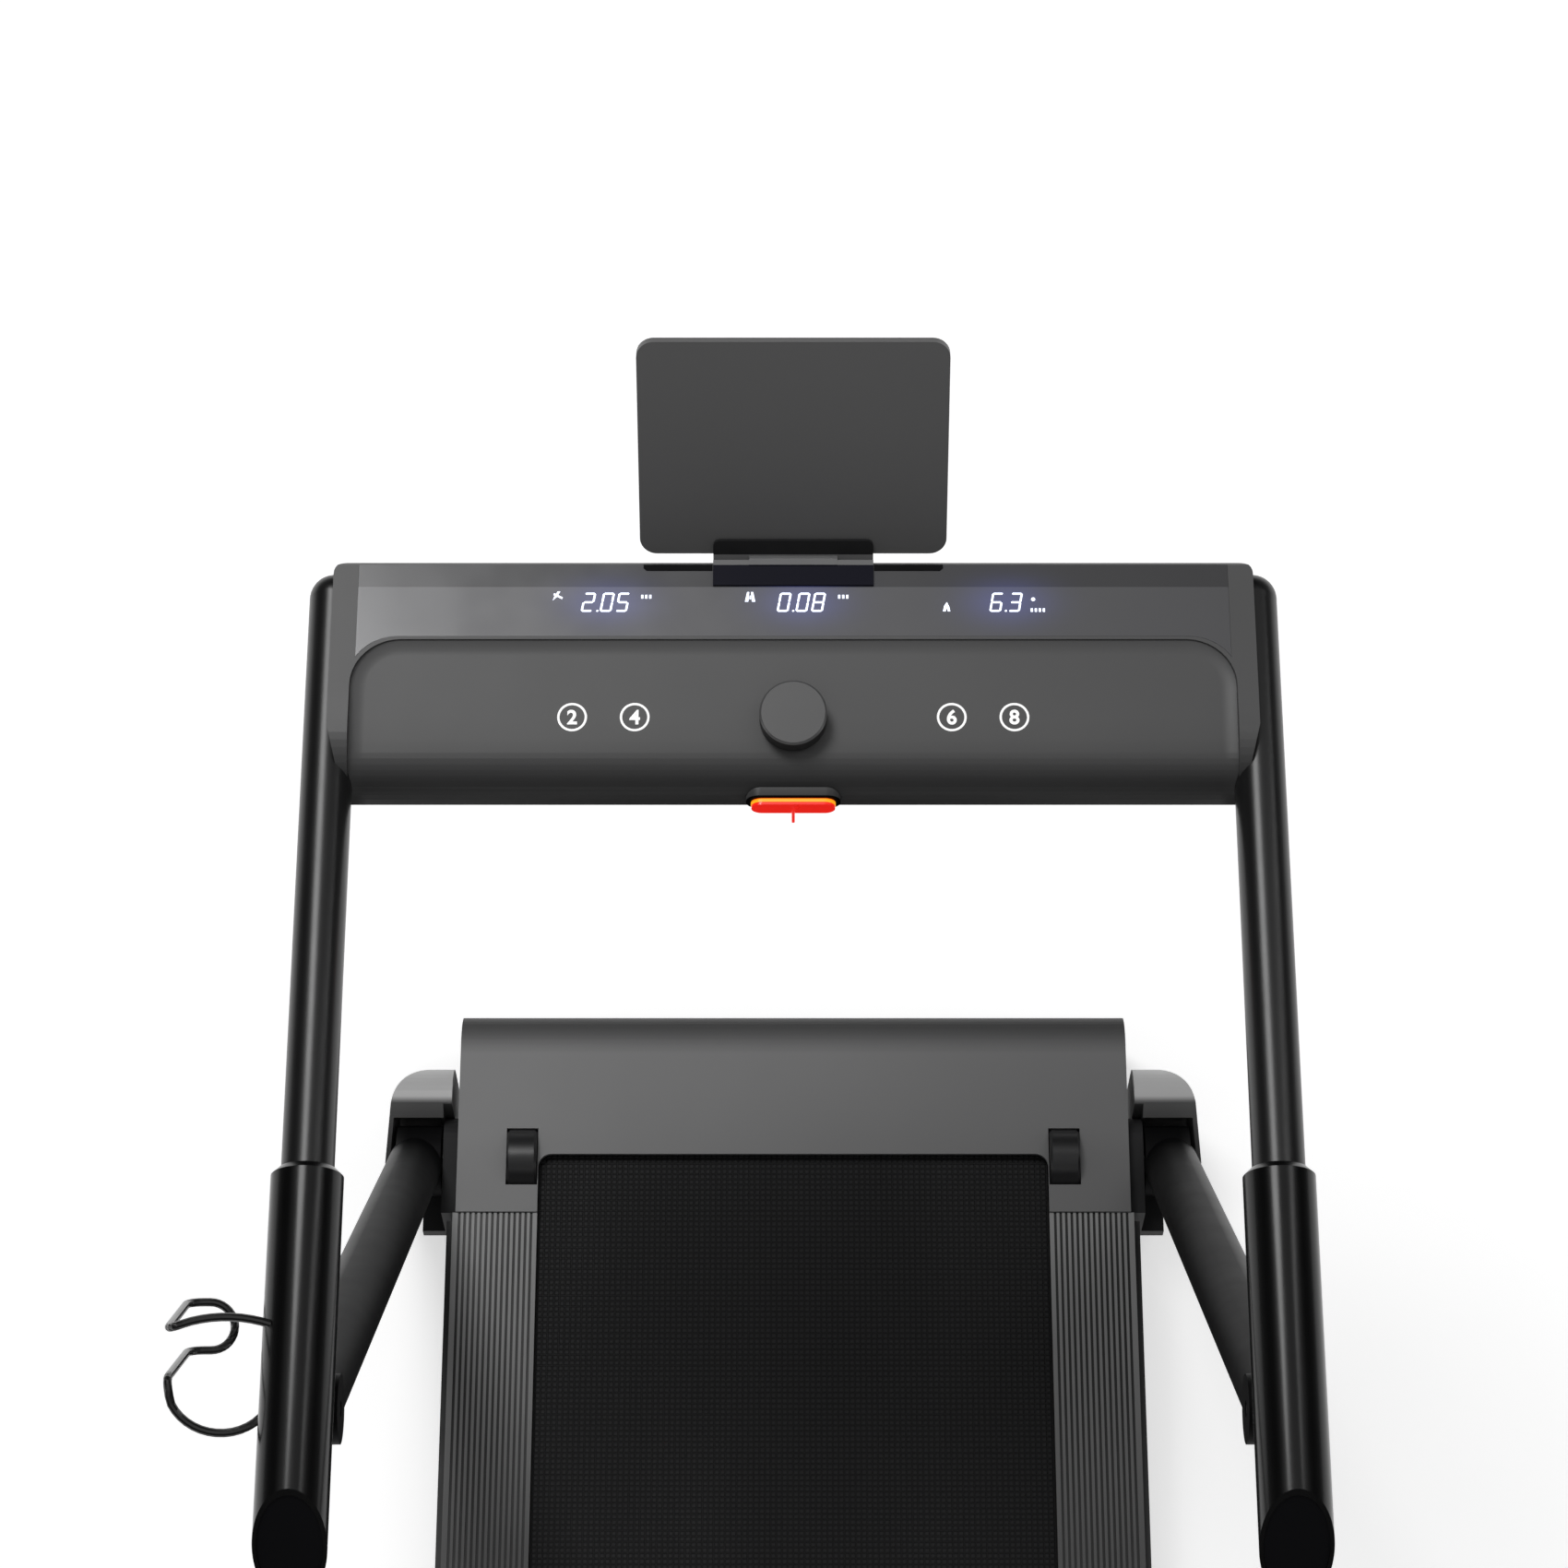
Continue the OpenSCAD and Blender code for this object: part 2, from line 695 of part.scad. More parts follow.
module grip() {
    edge = 5;
    color("#101010") difference() {
        union() {
            translate([side_x, -90, rail_z]) rotate([-90, 0, 0])
                cylinder(h = grip_front - edge + 90, r = grip_r);
            translate([side_x, grip_front - edge, rail_z]) rotate([-90, 0, 0])
                cylinder(h = edge, r1 = grip_r, r2 = grip_r - edge);
        }
        behind_cut(0);
        translate([side_x, rail_tube_rear, rail_z]) rotate([-90, 0, 0])
            cylinder(h = 400, r = rail_r);
        translate([side_x, -100, rail_z]) rotate([-90, 0, 0])
            cylinder(h = 101 + rail_tube_rear, r = cap_r);
        block([side_x - lug_w / 2 - 0.3, hinge_y - lug_r - 0.3, rail_z - grip_r - 1],
            [side_x + lug_w / 2 + 0.3, hinge_y + lug_r + 0.3, rail_z]);
    }
}

module grip_end_caps() {
    color("#0c0c0c") both_sides() difference() {
        translate([side_x, -90, rail_z]) rotate([-90, 0, 0])
            cylinder(h = 90 + rail_tube_rear, r = cap_r - 0.05);
        behind_cut(1.5);
    }
}

// ---------------------------------------------------------------- console
module console_plan(inset) {
    hw = console_hw - inset;
    back = console_back - inset;
    corner = 10;
    polygon(concat(
        [[hw - 11, console_front - 1], [hw, console_front + 45]],
        arc([hw - corner, back - corner], corner, 0, 90, 6),
        arc([-hw + corner, back - corner], corner, 90, 180, 6),
        [[-hw, console_front + 45], [-hw + 11, console_front - 1]]));
}

function recess_floor(y) = recess_z0 - (recess_y - y) * tan(recess_slope);

module console_shell() {
    rim_r = 44;
    roll_y = console_front + roll_r;
    color("#4a4a4a") difference() {
        intersection() {
            along_x(-console_hw, console_hw) polygon(concat(
                [[console_back, console_split], [console_back, console_top - 3],
                 [console_back - 3, console_top]],
                arc([console_front + rim_r, console_top - rim_r], rim_r, 90, 180, 12),
                [[console_front, console_split]]));
            translate([0, 0, 880]) linear_extrude(100) console_plan(0);
        }
        // Recess with the dished floor
        intersection() {
            along_x(-recess_hw, recess_hw) polygon(concat(
                [[recess_y, 1000], [recess_y, recess_z0]],
                arc([roll_y, recess_floor(roll_y) - roll_r / cos(recess_slope)], roll_r,
                    90 + recess_slope, 180, 10),
                [[console_front, 890], [console_front - 40, 890], [console_front - 40, 1000]]));
            translate([0, 0, 880]) linear_extrude(130) recess_plan(0);
        }
        // Seat of the display glass
        translate([0, 0, console_top - glass_t - 0.1]) linear_extrude(10) glass_plan(0.15);
        // Cavity for the electronics
        along_x(-318, 318) polygon([[console_back - 4, console_split - 1],
            [console_back - 4, console_top - 6], [recess_y + 4, console_top - 6],
            [roll_y, recess_floor(roll_y) - 4], [console_front + 8, console_split + 8],
            [console_front + 8, console_split - 1]]);
        // Grooves that lie on the handrail tubes
        both_sides() translate([side_x, 500, rail_z]) rotate([-90, 0, 0])
            cylinder(h = 300, r = rail_r + 0.1);
        at_knob() translate([0, 0, -20]) cylinder(h = 30, r = 3.4);
        oblong(key_hw + 4.2, 10.7, console_front - 10, console_front + 20);
    }
}

module recess_plan(grow) {
    hw = recess_hw + grow;
    r = recess_round;
    polygon(concat([[hw, 400]],
        arc([hw - r, recess_y + grow - r], r, 0, 90, 10),
        arc([-hw + r, recess_y + grow - r], r, 90, 180, 10), [[-hw, 400]]));
}

module glass_plan(grow) {
    difference() {
        translate([-325 - grow, 660 - grow]) square([650 + 2 * grow, 82 + 2 * grow]);
        recess_plan(2.5 - grow);
    }
}

module console_base() {
    wall = 3;
    color("#222222") difference() {
        translate([0, 0, console_low]) linear_extrude(console_split - 0.1 - console_low)
            intersection() {
                console_plan(2);
                translate([-400, console_front + 6]) square([800, 300]);
            }
        translate([0, 0, console_low + wall]) linear_extrude(30)
            translate([-310, console_front + 12]) square([620, console_back - console_front - 24]);
    }
}

module display_glass() {
    color("#303238") translate([0, 0, console_top - glass_t]) linear_extrude(glass_t) glass_plan(0);
}

module display_board() {
    color("#1d4d2c") {
        block([-190, 690, 930], [190, 735, 931.6]);
        for (x = [-150, 0, 150]) block([x - 34, 698, 931.6], [x + 34, 722, console_top - 6]);
    }
}

// Frame of the knob: on the recess floor, with Z square to it.
module at_knob() {
    translate([0, knob_y, recess_floor(knob_y)]) rotate([recess_slope, 0, 0]) children();
}

module knob_encoder() {
    color("gray") at_knob() difference() {
        translate([-8, -8, -15]) cube([16, 16, 10.4]);
        translate([0, 0, -16]) cylinder(h = 12, r = 3 + slip);
    }
}

module knob_shaft() {
    color("silver") at_knob() translate([0, 0, -12]) cylinder(h = 26, r = 3);
}

module speed_knob() {
    bevel = 1.5;
    top = 18;
    low = 1.9;
    color("#444444") at_knob() rotate_extrude() polygon([[0, 14.2], [3 + slip, 14.2],
        [3 + slip, low], [knob_r - 0.6, low], [knob_r, low + 0.6], [knob_r, top - bevel],
        [knob_r - bevel, top], [0, top]]);
}

// An oblong outline in (X, Z) about the key's centre, drawn out along Y.
module oblong(hw, hh, y0, y1) {
    translate([0, y1, key_z]) rotate([90, 0, 0]) linear_extrude(y1 - y0) {
        square([2 * (hw - hh), 2 * hh], center = true);
        translate([hw - hh, 0]) circle(hh);
        translate([-(hw - hh), 0]) circle(hh);
    }
}

module key_socket() {
    color("#202020") difference() {
        oblong(key_hw + 4, 10.5, console_front - 3, console_front + 19);
        oblong(key_hw + 0.5, 8.5, console_front - 4, console_front + 8);
    }
}

module safety_key() {
    tab_r = 1.2;
    color("#e01020") {
        oblong(key_hw, 8, console_front - 8, console_front + 7);
        translate([0, console_front - 7, key_z - 5]) rotate([143, 0, 0]) cylinder(h = 10, r = tab_r);
    }
}

// ---------------------------------------------------------------- tablet
// Frame of the tablet: origin at its lower front edge, Y away from the user, Z up its slope.
module at_tablet() {
    translate([0, tablet_y, tablet_z]) rotate([-tablet_lean, 0, 0]) children();
}

module tablet_ledge() {
    hw = ledge_w / 2;
    neck_hw = 33;
    lip_gap = 0.6;
    lip_t = 3;
    lip_h = 13;
    lip_round = 5;
    color("#1e1e1e") {
        at_tablet() {
            translate([0, -lip_gap, 0]) rotate([90, 0, 0]) linear_extrude(lip_t)
                polygon(concat([[hw, -4]], arc([hw - lip_round, lip_h - lip_round], lip_round, 0, 90, 6),
                    arc([-hw + lip_round, lip_h - lip_round], lip_round, 90, 180, 6), [[-hw, -4]]));
            block([-hw, -3.6, -4], [hw, tablet_t + 3.6, -1]);
            block([-hw, tablet_t + 0.6, -4], [hw, tablet_t + 3.6, 34]);
        }
        block([-hw, 724, console_top + 0.05], [hw, 745, console_top + 2]);
        along_x(-neck_hw, neck_hw) polygon([[740, console_top + 0.05], [740, console_top + 2.4],
            [746, console_top + 2.4], [755, 943], [755, 938.5], [745.1, 938.5],
            [745.1, console_top + 0.05]]);
    }
}

module tablet_panel() {
    hw = tablet_w / 2;
    corner = 13;
    color("#464646") at_tablet() translate([0, tablet_t, 0]) rotate([90, 0, 0])
        linear_extrude(tablet_t) {
            translate([-hw, corner]) square([tablet_w, tablet_h - 2 * corner]);
            translate([-hw + corner, 0]) square([tablet_w - 2 * corner, tablet_h]);
            for (x = [-hw + corner, hw - corner], z = [corner, tablet_h - corner])
                translate([x, z]) circle(corner);
        }
}

// ---------------------------------------------------------------- bottle cage
// Cage frame: u outwards from the grip's axis, w forward, h down along the cage.
function cage_point(u, w, h) = [-side_x - u,
    cage_y + w * cos(cage_lean) + h * sin(cage_lean),
    rail_z + w * sin(cage_lean) - h * cos(cage_lean)];

function mix(a, b, t) = a + (b - a) * t;
function bend(a, b, c, r) = let (p = b + (a - b) / norm(a - b) * r, q = b + (c - b) / norm(c - b) * r)
    [for (i = [0:6]) let (t = i / 6) mix(mix(p, b, t), mix(b, q, t), t)];

function cage_arm(u) = cage_point(u, 38.7 - 0.0052 * (u - 50) * (u - 50), 0);
function cage_rear(a) = cage_point(54 + 38 * cos(a), -8 + 35 * sin(a), 0);

cage_top_f = cage_point(cage_leg_u, cage_front_w, 0);
cage_low_f = cage_point(cage_leg_u, cage_front_w, cage_depth);
cage_low_r = cage_point(cage_leg_u, cage_rear_w, cage_depth);
cage_top_r = cage_rear(5);
cage_mid_w = (cage_front_w + cage_rear_w) / 2;
cage_u_r = (cage_front_w - cage_rear_w) / 2;
cage_u0 = 75;
cage_path = concat(
    [for (u = [18:7:74]) cage_arm(u)],
    bend(cage_arm(77), cage_top_f, cage_low_f, cage_bend),
    bend(cage_top_f, cage_low_f, cage_point(cage_u0, cage_front_w, cage_depth), cage_bend),
    [for (a = [90:10:270])
        cage_point(cage_u0 + cage_u_r * cos(a), cage_mid_w + cage_u_r * sin(a), cage_depth)],
    bend(cage_point(cage_u0, cage_rear_w, cage_depth), cage_low_r, cage_top_r, cage_bend),
    bend(cage_low_r, cage_top_r, cage_rear(-22), cage_bend),
    [for (a = [-25:-8.6:-154]) cage_rear(a)]);

// A round wire swept along a list of points.
module swept_wire(path, r, sides) {
    n = len(path);
    lean = [0.31, 0.52, 0.8];
    rings = [for (i = [0:n - 1]) let (
        t0 = path[min(i + 1, n - 1)] - path[max(i - 1, 0)], t = t0 / norm(t0),
        a0 = cross(t, lean), a = a0 / norm(a0), b = cross(t, a))
        for (k = [0:sides - 1]) path[i] + r * (cos(360 * k / sides) * a + sin(360 * k / sides) * b)];
    sidewalls = [for (i = [0:n - 2], k = [0:sides - 1]) let (k1 = (k + 1) % sides)
        [i * sides + k, i * sides + k1, (i + 1) * sides + k1, (i + 1) * sides + k]];
    polyhedron(points = rings, faces = concat(
        [for (f = sidewalls) [f[0], f[3], f[2], f[1]]], [[for (k = [0:sides - 1]) k]],
        [[for (k = [sides - 1:-1:0]) (n - 1) * sides + k]]), convexity = 8);
}

module bottle_cage() {
    color("#1a1a1a") swept_wire(cage_path, wire_r, 12);
}

module console_screws() {
    color("gray") for (x = [-250, -80, 80, 250], y = [console_front + 8.5, console_back - 7])
        translate([x, y, console_low - 0.9]) difference() {
            cylinder(h = 12.8, r = 1.8);
            translate([0, 0, -1]) cylinder(h = 2, r = 1, $fn = 6);
        }
}

mirror([1, 0, 0]) frame_rail();  // left_frame_rail
frame_rail();  // right_frame_rail
crossmembers();
deck_board();
deck_cushions();
running_belt();
mirror([1, 0, 0]) foot_rail();  // left_foot_rail
foot_rail();  // right_foot_rail
mirror([1, 0, 0]) side_trim();  // left_side_trim
side_trim();  // right_side_trim
rear_caps();
rear_roller();
rear_roller_bearings();
rear_roller_shaft();
tension_bolts();
front_roller();
front_bushings();
drive_pulley();
drive_belt();
motor_casing();
motor_rotor();
motor_cradle();
control_board();
motor_hood();
belly_pan();
mirror([1, 0, 0]) hood_roller();  // left_hood_roller
hood_roller();  // right_hood_roller
hood_roller_axles();
hood_roller_brackets();
power_inlet();
switch_frame();
power_rocker();
pivot_brackets();
pivot_pins();
mirror([1, 0, 0]) pivot_shroud();  // left_pivot_shroud
pivot_shroud();  // right_pivot_shroud
corner_feet();
centre_foot();
mirror([1, 0, 0]) arm();  // left_arm
arm();  // right_arm
hinge_pins();
mirror([1, 0, 0]) rail_tube();  // left_rail_tube
rail_tube();  // right_rail_tube
hinge_lugs();
mirror([1, 0, 0]) grip();  // left_grip
grip();  // right_grip
grip_end_caps();
console_shell();
console_base();
display_glass();
display_board();
knob_encoder();
knob_shaft();
speed_knob();
key_socket();
safety_key();
tablet_ledge();
tablet_panel();
bottle_cage();
console_screws();
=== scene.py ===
"""Looks of a folding treadmill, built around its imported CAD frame. Metres, +Y forward, +Z up."""
import json
import math

import bpy
from mathutils import Matrix, Vector


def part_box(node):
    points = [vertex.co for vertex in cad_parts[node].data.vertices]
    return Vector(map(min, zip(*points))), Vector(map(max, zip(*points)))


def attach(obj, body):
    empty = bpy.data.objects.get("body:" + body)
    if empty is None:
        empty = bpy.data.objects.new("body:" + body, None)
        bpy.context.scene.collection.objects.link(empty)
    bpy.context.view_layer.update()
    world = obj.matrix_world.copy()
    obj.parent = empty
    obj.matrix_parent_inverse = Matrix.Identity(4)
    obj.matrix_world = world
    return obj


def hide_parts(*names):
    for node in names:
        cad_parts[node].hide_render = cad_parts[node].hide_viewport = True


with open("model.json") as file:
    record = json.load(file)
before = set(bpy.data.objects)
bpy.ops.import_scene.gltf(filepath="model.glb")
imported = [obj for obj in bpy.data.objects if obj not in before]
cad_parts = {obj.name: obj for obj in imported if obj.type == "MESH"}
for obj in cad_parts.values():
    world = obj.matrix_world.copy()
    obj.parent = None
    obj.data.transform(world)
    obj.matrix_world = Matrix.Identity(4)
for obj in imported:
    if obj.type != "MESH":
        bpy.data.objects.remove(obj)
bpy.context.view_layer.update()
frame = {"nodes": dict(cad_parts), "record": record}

MM = 0.001

# The display face: middle line and places of its readings, near edge of its darker band.
DIGIT_Y = 0.7105
DIGIT_SPOTS = (-0.139, 0.007, 0.160)
BAND_Y = 0.7233
GLOW_HALF_W, GLOW_HALF_H, GLOW_STRENGTH = 0.030, 0.017, 0.18

# Marks that lie on a surface: how thick they are and how far they stand clear of it.
MARK_THICK = 0.12 * MM
MARK_CLEAR = 0.03 * MM
SPEED_MARKS = {"2": -163.5 * MM, "4": -117.2 * MM, "6": 117.2 * MM, "8": 163.5 * MM}
SPEED_MARK_Y = 0.620

# Below the foot rail's top: where the painted shade in a groove is at its darkest, and where a
# ridge is at its palest.
RAIL_GROOVE_SHADE, RAIL_RIDGE_LIGHT = 0.9 * MM, 0.2 * MM

LEDGE_FOOT_Y, LEDGE_PLATE_Y = 0.7408, 0.7526
ARM_INNER_X, ARM_OUTER_X, ARM_OUTER_GLOSS = 0.352, 0.371, 0.6
KNOB_HEIGHT = 18 * MM

# The console's recess: half width, far edge, corner radius, and the cove along its edge.
RECESS_HALF_W, RECESS_FAR, RECESS_CORNER = 0.3286, 0.680, 0.037
COVE_REACH, COVE_DEPTH = 0.012, 0.0022

# Tones along a direction, as (place, factor) stops: painted shade on the rolls and fades, and a
# darker side below a paler rim on the knob. The knob's places are measured from its top.
ALONG, ACROSS, UP_AND_FORWARD = (0, 1, 0), (1, 0, 0), (0, 0.6, 0.8)
# Painted shade: the console darkens down its roll towards its lower front edge.
CONSOLE_ROLL_PAINTED_SHADE = [(0.564, 0.32), (0.574, 0.42), (0.584, 0.66), (0.594, 0.84), (0.604, 0.95),
                (0.620, 1.0)]
# Painted shade: the key socket darkens over its roll, near black at its front edge.
SOCKET_ROLL_PAINTED_SHADE = [(0.562, 0.02), (0.5640, 0.02), (0.5646, 0.5), (0.574, 0.8), (0.586, 1.0)]
# Painted shade: the shroud is lightest at its top and darkens lower down.
SHROUD_PAINTED_SHADE = [(0.420, 0.12), (0.455, 0.2), (0.4655, 0.24), (0.4685, 0.9), (0.476, 1.0)]
# Painted shade: the hood darkens over its front roll.
HOOD_ROLL_PAINTED_SHADE = [(0.668, 1.0), (0.686, 0.6), (0.698, 0.32), (0.716, 0.3)]
# Painted light and shade: the hood is lighter at its left than at its right.
HOOD_SIDE_PAINTED_SHADE = [(-0.305, 1.0), (0.305, 0.76)]
KNOB_SIDE = [(-4 * MM, 0.2), (-1.6 * MM, 0.25), (-1.4 * MM, 1.0), (-0.3 * MM, 0.8)]

# Rounding of hard edges in mm; a piece with 0 is only shaded smooth.
SOFT_EDGES = {
    "console_shell": 1.2, "tablet_panel": 0.9, "speed_knob": 0.5, "motor_hood": 0.9,
    "left_pivot_shroud": 0.8, "right_pivot_shroud": 0.8, "tablet_ledge": 0.4,
    "left_grip": 0.8, "right_grip": 0.8, "grip_end_caps": 0.8, "rear_caps": 1.0,
    "key_socket": 0.8, "safety_key": 0.8, "pivot_brackets": 0.6, "console_base": 0.8,
    "bottle_cage": 0.0, "left_arm": 0.5, "right_arm": 0.5,
}
EDGE_SEGMENTS, EDGE_ANGLE = 3, math.radians(32)

# Which bars each number lights on the display, and how far the digits lean.
SEGMENTS = {"0": "abcdef", "2": "abged", "3": "abgcd", "5": "afgcd", "6": "afgedc", "8": "abcdefg"}
LEAN = 0.17


# ---------------------------------------------------------------- materials
def new_material(name):
    """An empty node material with its shader, output and object-space coordinates."""
    mat = bpy.data.materials.new(name)
    mat.use_nodes = True
    tree = mat.node_tree
    tree.nodes.clear()
    out = tree.nodes.new("ShaderNodeOutputMaterial")
    shader = tree.nodes.new("ShaderNodeBsdfPrincipled")
    tree.links.new(shader.outputs["BSDF"], out.inputs["Surface"])
    coords = tree.nodes.new("ShaderNodeTexCoord").outputs["Object"]
    return mat, tree, shader, coords


def reopened(mat):
    """A made material's node tree, shader and object-space coordinates, to add to it."""
    tree = mat.node_tree
    coords = tree.nodes.new("ShaderNodeTexCoord").outputs["Object"]
    return tree, tree.nodes["Principled BSDF"], coords


def axes(tree, coords):
    """The X, Y and Z sockets of a vector."""
    split = tree.nodes.new("ShaderNodeSeparateXYZ")
    tree.links.new(coords, split.inputs["Vector"])
    return split.outputs


def noise(tree, coords, scale, detail=4.0, stretch=(1, 1, 1)):
    """A noise texture: scale in cells per metre, times the given factor along each axis."""
    mapping = tree.nodes.new("ShaderNodeMapping")
    mapping.inputs["Scale"].default_value = stretch
    tree.links.new(coords, mapping.inputs["Vector"])
    tex = tree.nodes.new("ShaderNodeTexNoise")
    tex.inputs["Scale"].default_value = scale
    tex.inputs["Detail"].default_value = detail
    tree.links.new(mapping.outputs["Vector"], tex.inputs["Vector"])
    return tex.outputs["Fac"]


def spread(tree, value, low, high, from_low=0.3, from_high=0.7):
    """The value mapped to low..high, from a noise's usual range or the range given."""
    node = tree.nodes.new("ShaderNodeMapRange")
    node.inputs["From Min"].default_value = from_low
    node.inputs["From Max"].default_value = from_high
    node.inputs["To Min"].default_value = low
    node.inputs["To Max"].default_value = high
    tree.links.new(value, node.inputs["Value"])
    return node.outputs["Result"]


def ramp(tree, value, stops):
    """A colour ramp through (place, colour) stops."""
    node = tree.nodes.new("ShaderNodeValToRGB")
    elements = node.color_ramp.elements
    while len(elements) < len(stops):
        elements.new(0.5)
    for element, (place, colour) in zip(elements, stops):
        element.position = place
        element.color = (*colour, 1)
    tree.links.new(value, node.inputs["Fac"])
    return node.outputs["Color"]


def math_node(tree, operation, a, b=None, c=None):
    """One math node; a, b and c are sockets or numbers."""
    node = tree.nodes.new("ShaderNodeMath")
    node.operation = operation
    for socket, value in zip(node.inputs, (a, b, c)):
        if value is None:
            continue
        if isinstance(value, (int, float)):
            socket.default_value = value
        else:
            tree.links.new(value, socket)
    return node.outputs["Value"]


def sum_of_squares(tree, a, b):
    """The value a * a + b * b."""
    return math_node(tree, "ADD", math_node(tree, "MULTIPLY", a, a),
                     math_node(tree, "MULTIPLY", b, b))


def bump(tree, shader, height, distance, strength=1.0):
    """Adds a bump to the shader, on top of any that it has."""
    node = tree.nodes.new("ShaderNodeBump")
    node.inputs["Distance"].default_value = distance
    node.inputs["Strength"].default_value = strength
    if shader.inputs["Normal"].links:
        tree.links.new(shader.inputs["Normal"].links[0].from_socket, node.inputs["Normal"])
    tree.links.new(height, node.inputs["Height"])
    tree.links.new(node.outputs["Normal"], shader.inputs["Normal"])


def scaled(tree, colour, factor):
    """A colour socket times a factor socket."""
    node = tree.nodes.new("ShaderNodeVectorMath")
    node.operation = "SCALE"
    tree.links.new(colour, node.inputs[0])
    tree.links.new(factor, node.inputs["Scale"])
    return node.outputs["Vector"]


def grey(level):
    """A neutral colour."""
    return (level, level, level)


def shade(colour, factor):
    """A colour made lighter or darker."""
    return tuple(min(1.0, c * factor) for c in colour)


def surface(name, colour, rough, metal=0.0, grain=900, depth=0.04 * MM, vary=0.12,
            coat=0.0, stretch=(1, 1, 1), smear=0.03, specular=0.5):
    """A surface with mottled colour, uneven gloss, faint smudges and a fine grain."""
    mat, tree, shader, coords = new_material(name)
    broad = noise(tree, coords, 7, 5)
    fine = noise(tree, coords, grain, 3, stretch)
    smudge = noise(tree, coords, 26, 6)
    stops = [(0.32, shade(colour, 1 - vary)), (0.55, colour),
             (0.72, shade(colour, 1 + vary))]
    tree.links.new(ramp(tree, broad, stops), shader.inputs["Base Color"])
    low, high = max(0.03, rough - smear), min(1.0, rough + smear)
    tree.links.new(spread(tree, smudge, low, high), shader.inputs["Roughness"])
    shader.inputs["Metallic"].default_value = metal
    shader.inputs["Specular IOR Level"].default_value = specular
    shader.inputs["Coat Weight"].default_value = coat
    shader.inputs["Coat Roughness"].default_value = 0.12
    bump(tree, shader, fine, depth, 0.6)
    return mat


def glowing(mat, colour, strength):
    """The same material, also giving off a light of the given colour and strength."""
    shader = mat.node_tree.nodes["Principled BSDF"]
    shader.inputs["Emission Color"].default_value = (*colour, 1)
    shader.inputs["Emission Strength"].default_value = strength
    return mat


def belt_material():
    """Near-black belt with a raised 5 mm grid and a faintly worn middle."""
    pitch = 5 * MM
    mat, tree, shader, coords = new_material("belt_grid")
    place = axes(tree, coords)
    ridges = []
    for axis in ("X", "Y"):
        cell = math_node(tree, "PINGPONG", place[axis], pitch / 2)
        ridges.append(math_node(tree, "MULTIPLY", cell, 2 / pitch))
    pad = spread(tree, math_node(tree, "MINIMUM", *ridges), 0, 1, 0.12, 0.45)
    wear = noise(tree, coords, 5, 6, (1, 0.25, 1))
    speck = noise(tree, coords, 1400, 2)
    tone = math_node(tree, "MULTIPLY_ADD", pad, 0.75, math_node(tree, "MULTIPLY", wear, 0.25))
    stops = [(0.0, (0.0012, 0.0012, 0.0014)), (0.6, (0.006, 0.006, 0.0066)),
             (1.0, (0.013, 0.013, 0.014))]
    tree.links.new(ramp(tree, tone, stops), shader.inputs["Base Color"])
    tree.links.new(spread(tree, wear, 0.52, 0.7), shader.inputs["Roughness"])
    shader.inputs["Specular IOR Level"].default_value = 0.3
    bump(tree, shader, pad, 0.6 * MM, 0.8)
    bump(tree, shader, speck, 0.05 * MM, 0.5)
    return mat


def rail_material(top):
    """Grooved foot rail: worn grey ridges, grooves darkened by painted shade, and painted shade
    darker away from the hood.
    """
    mat, tree, shader, coords = new_material("rail_ridges_painted_shade")
    place = axes(tree, coords)
    # Painted shade: the grooves darken below the ridge tops.
    height = spread(tree, place["Z"], 0, 1, top - RAIL_GROOVE_SHADE, top - RAIL_RIDGE_LIGHT)
    scuff = noise(tree, coords, 30, 6, (1, 0.15, 1))
    ridge_light_and_scuff = math_node(tree, "MULTIPLY", height, spread(tree, scuff, 0.88, 1.0))
    # Painted shade: the rail darkens away from the hood.
    along = spread(tree, place["Y"], 0.42, 1.0, 0.2, 0.52)
    tone = math_node(tree, "MULTIPLY", ridge_light_and_scuff, along)
    stops = [(0.0, grey(0.005)), (0.4, grey(0.085)), (1.0, grey(0.34))]
    tree.links.new(ramp(tree, tone, stops), shader.inputs["Base Color"])
    tree.links.new(spread(tree, scuff, 0.4, 0.52), shader.inputs["Roughness"])
    bump(tree, shader, noise(tree, coords, 1200, 2), 0.03 * MM, 0.5)
    return mat


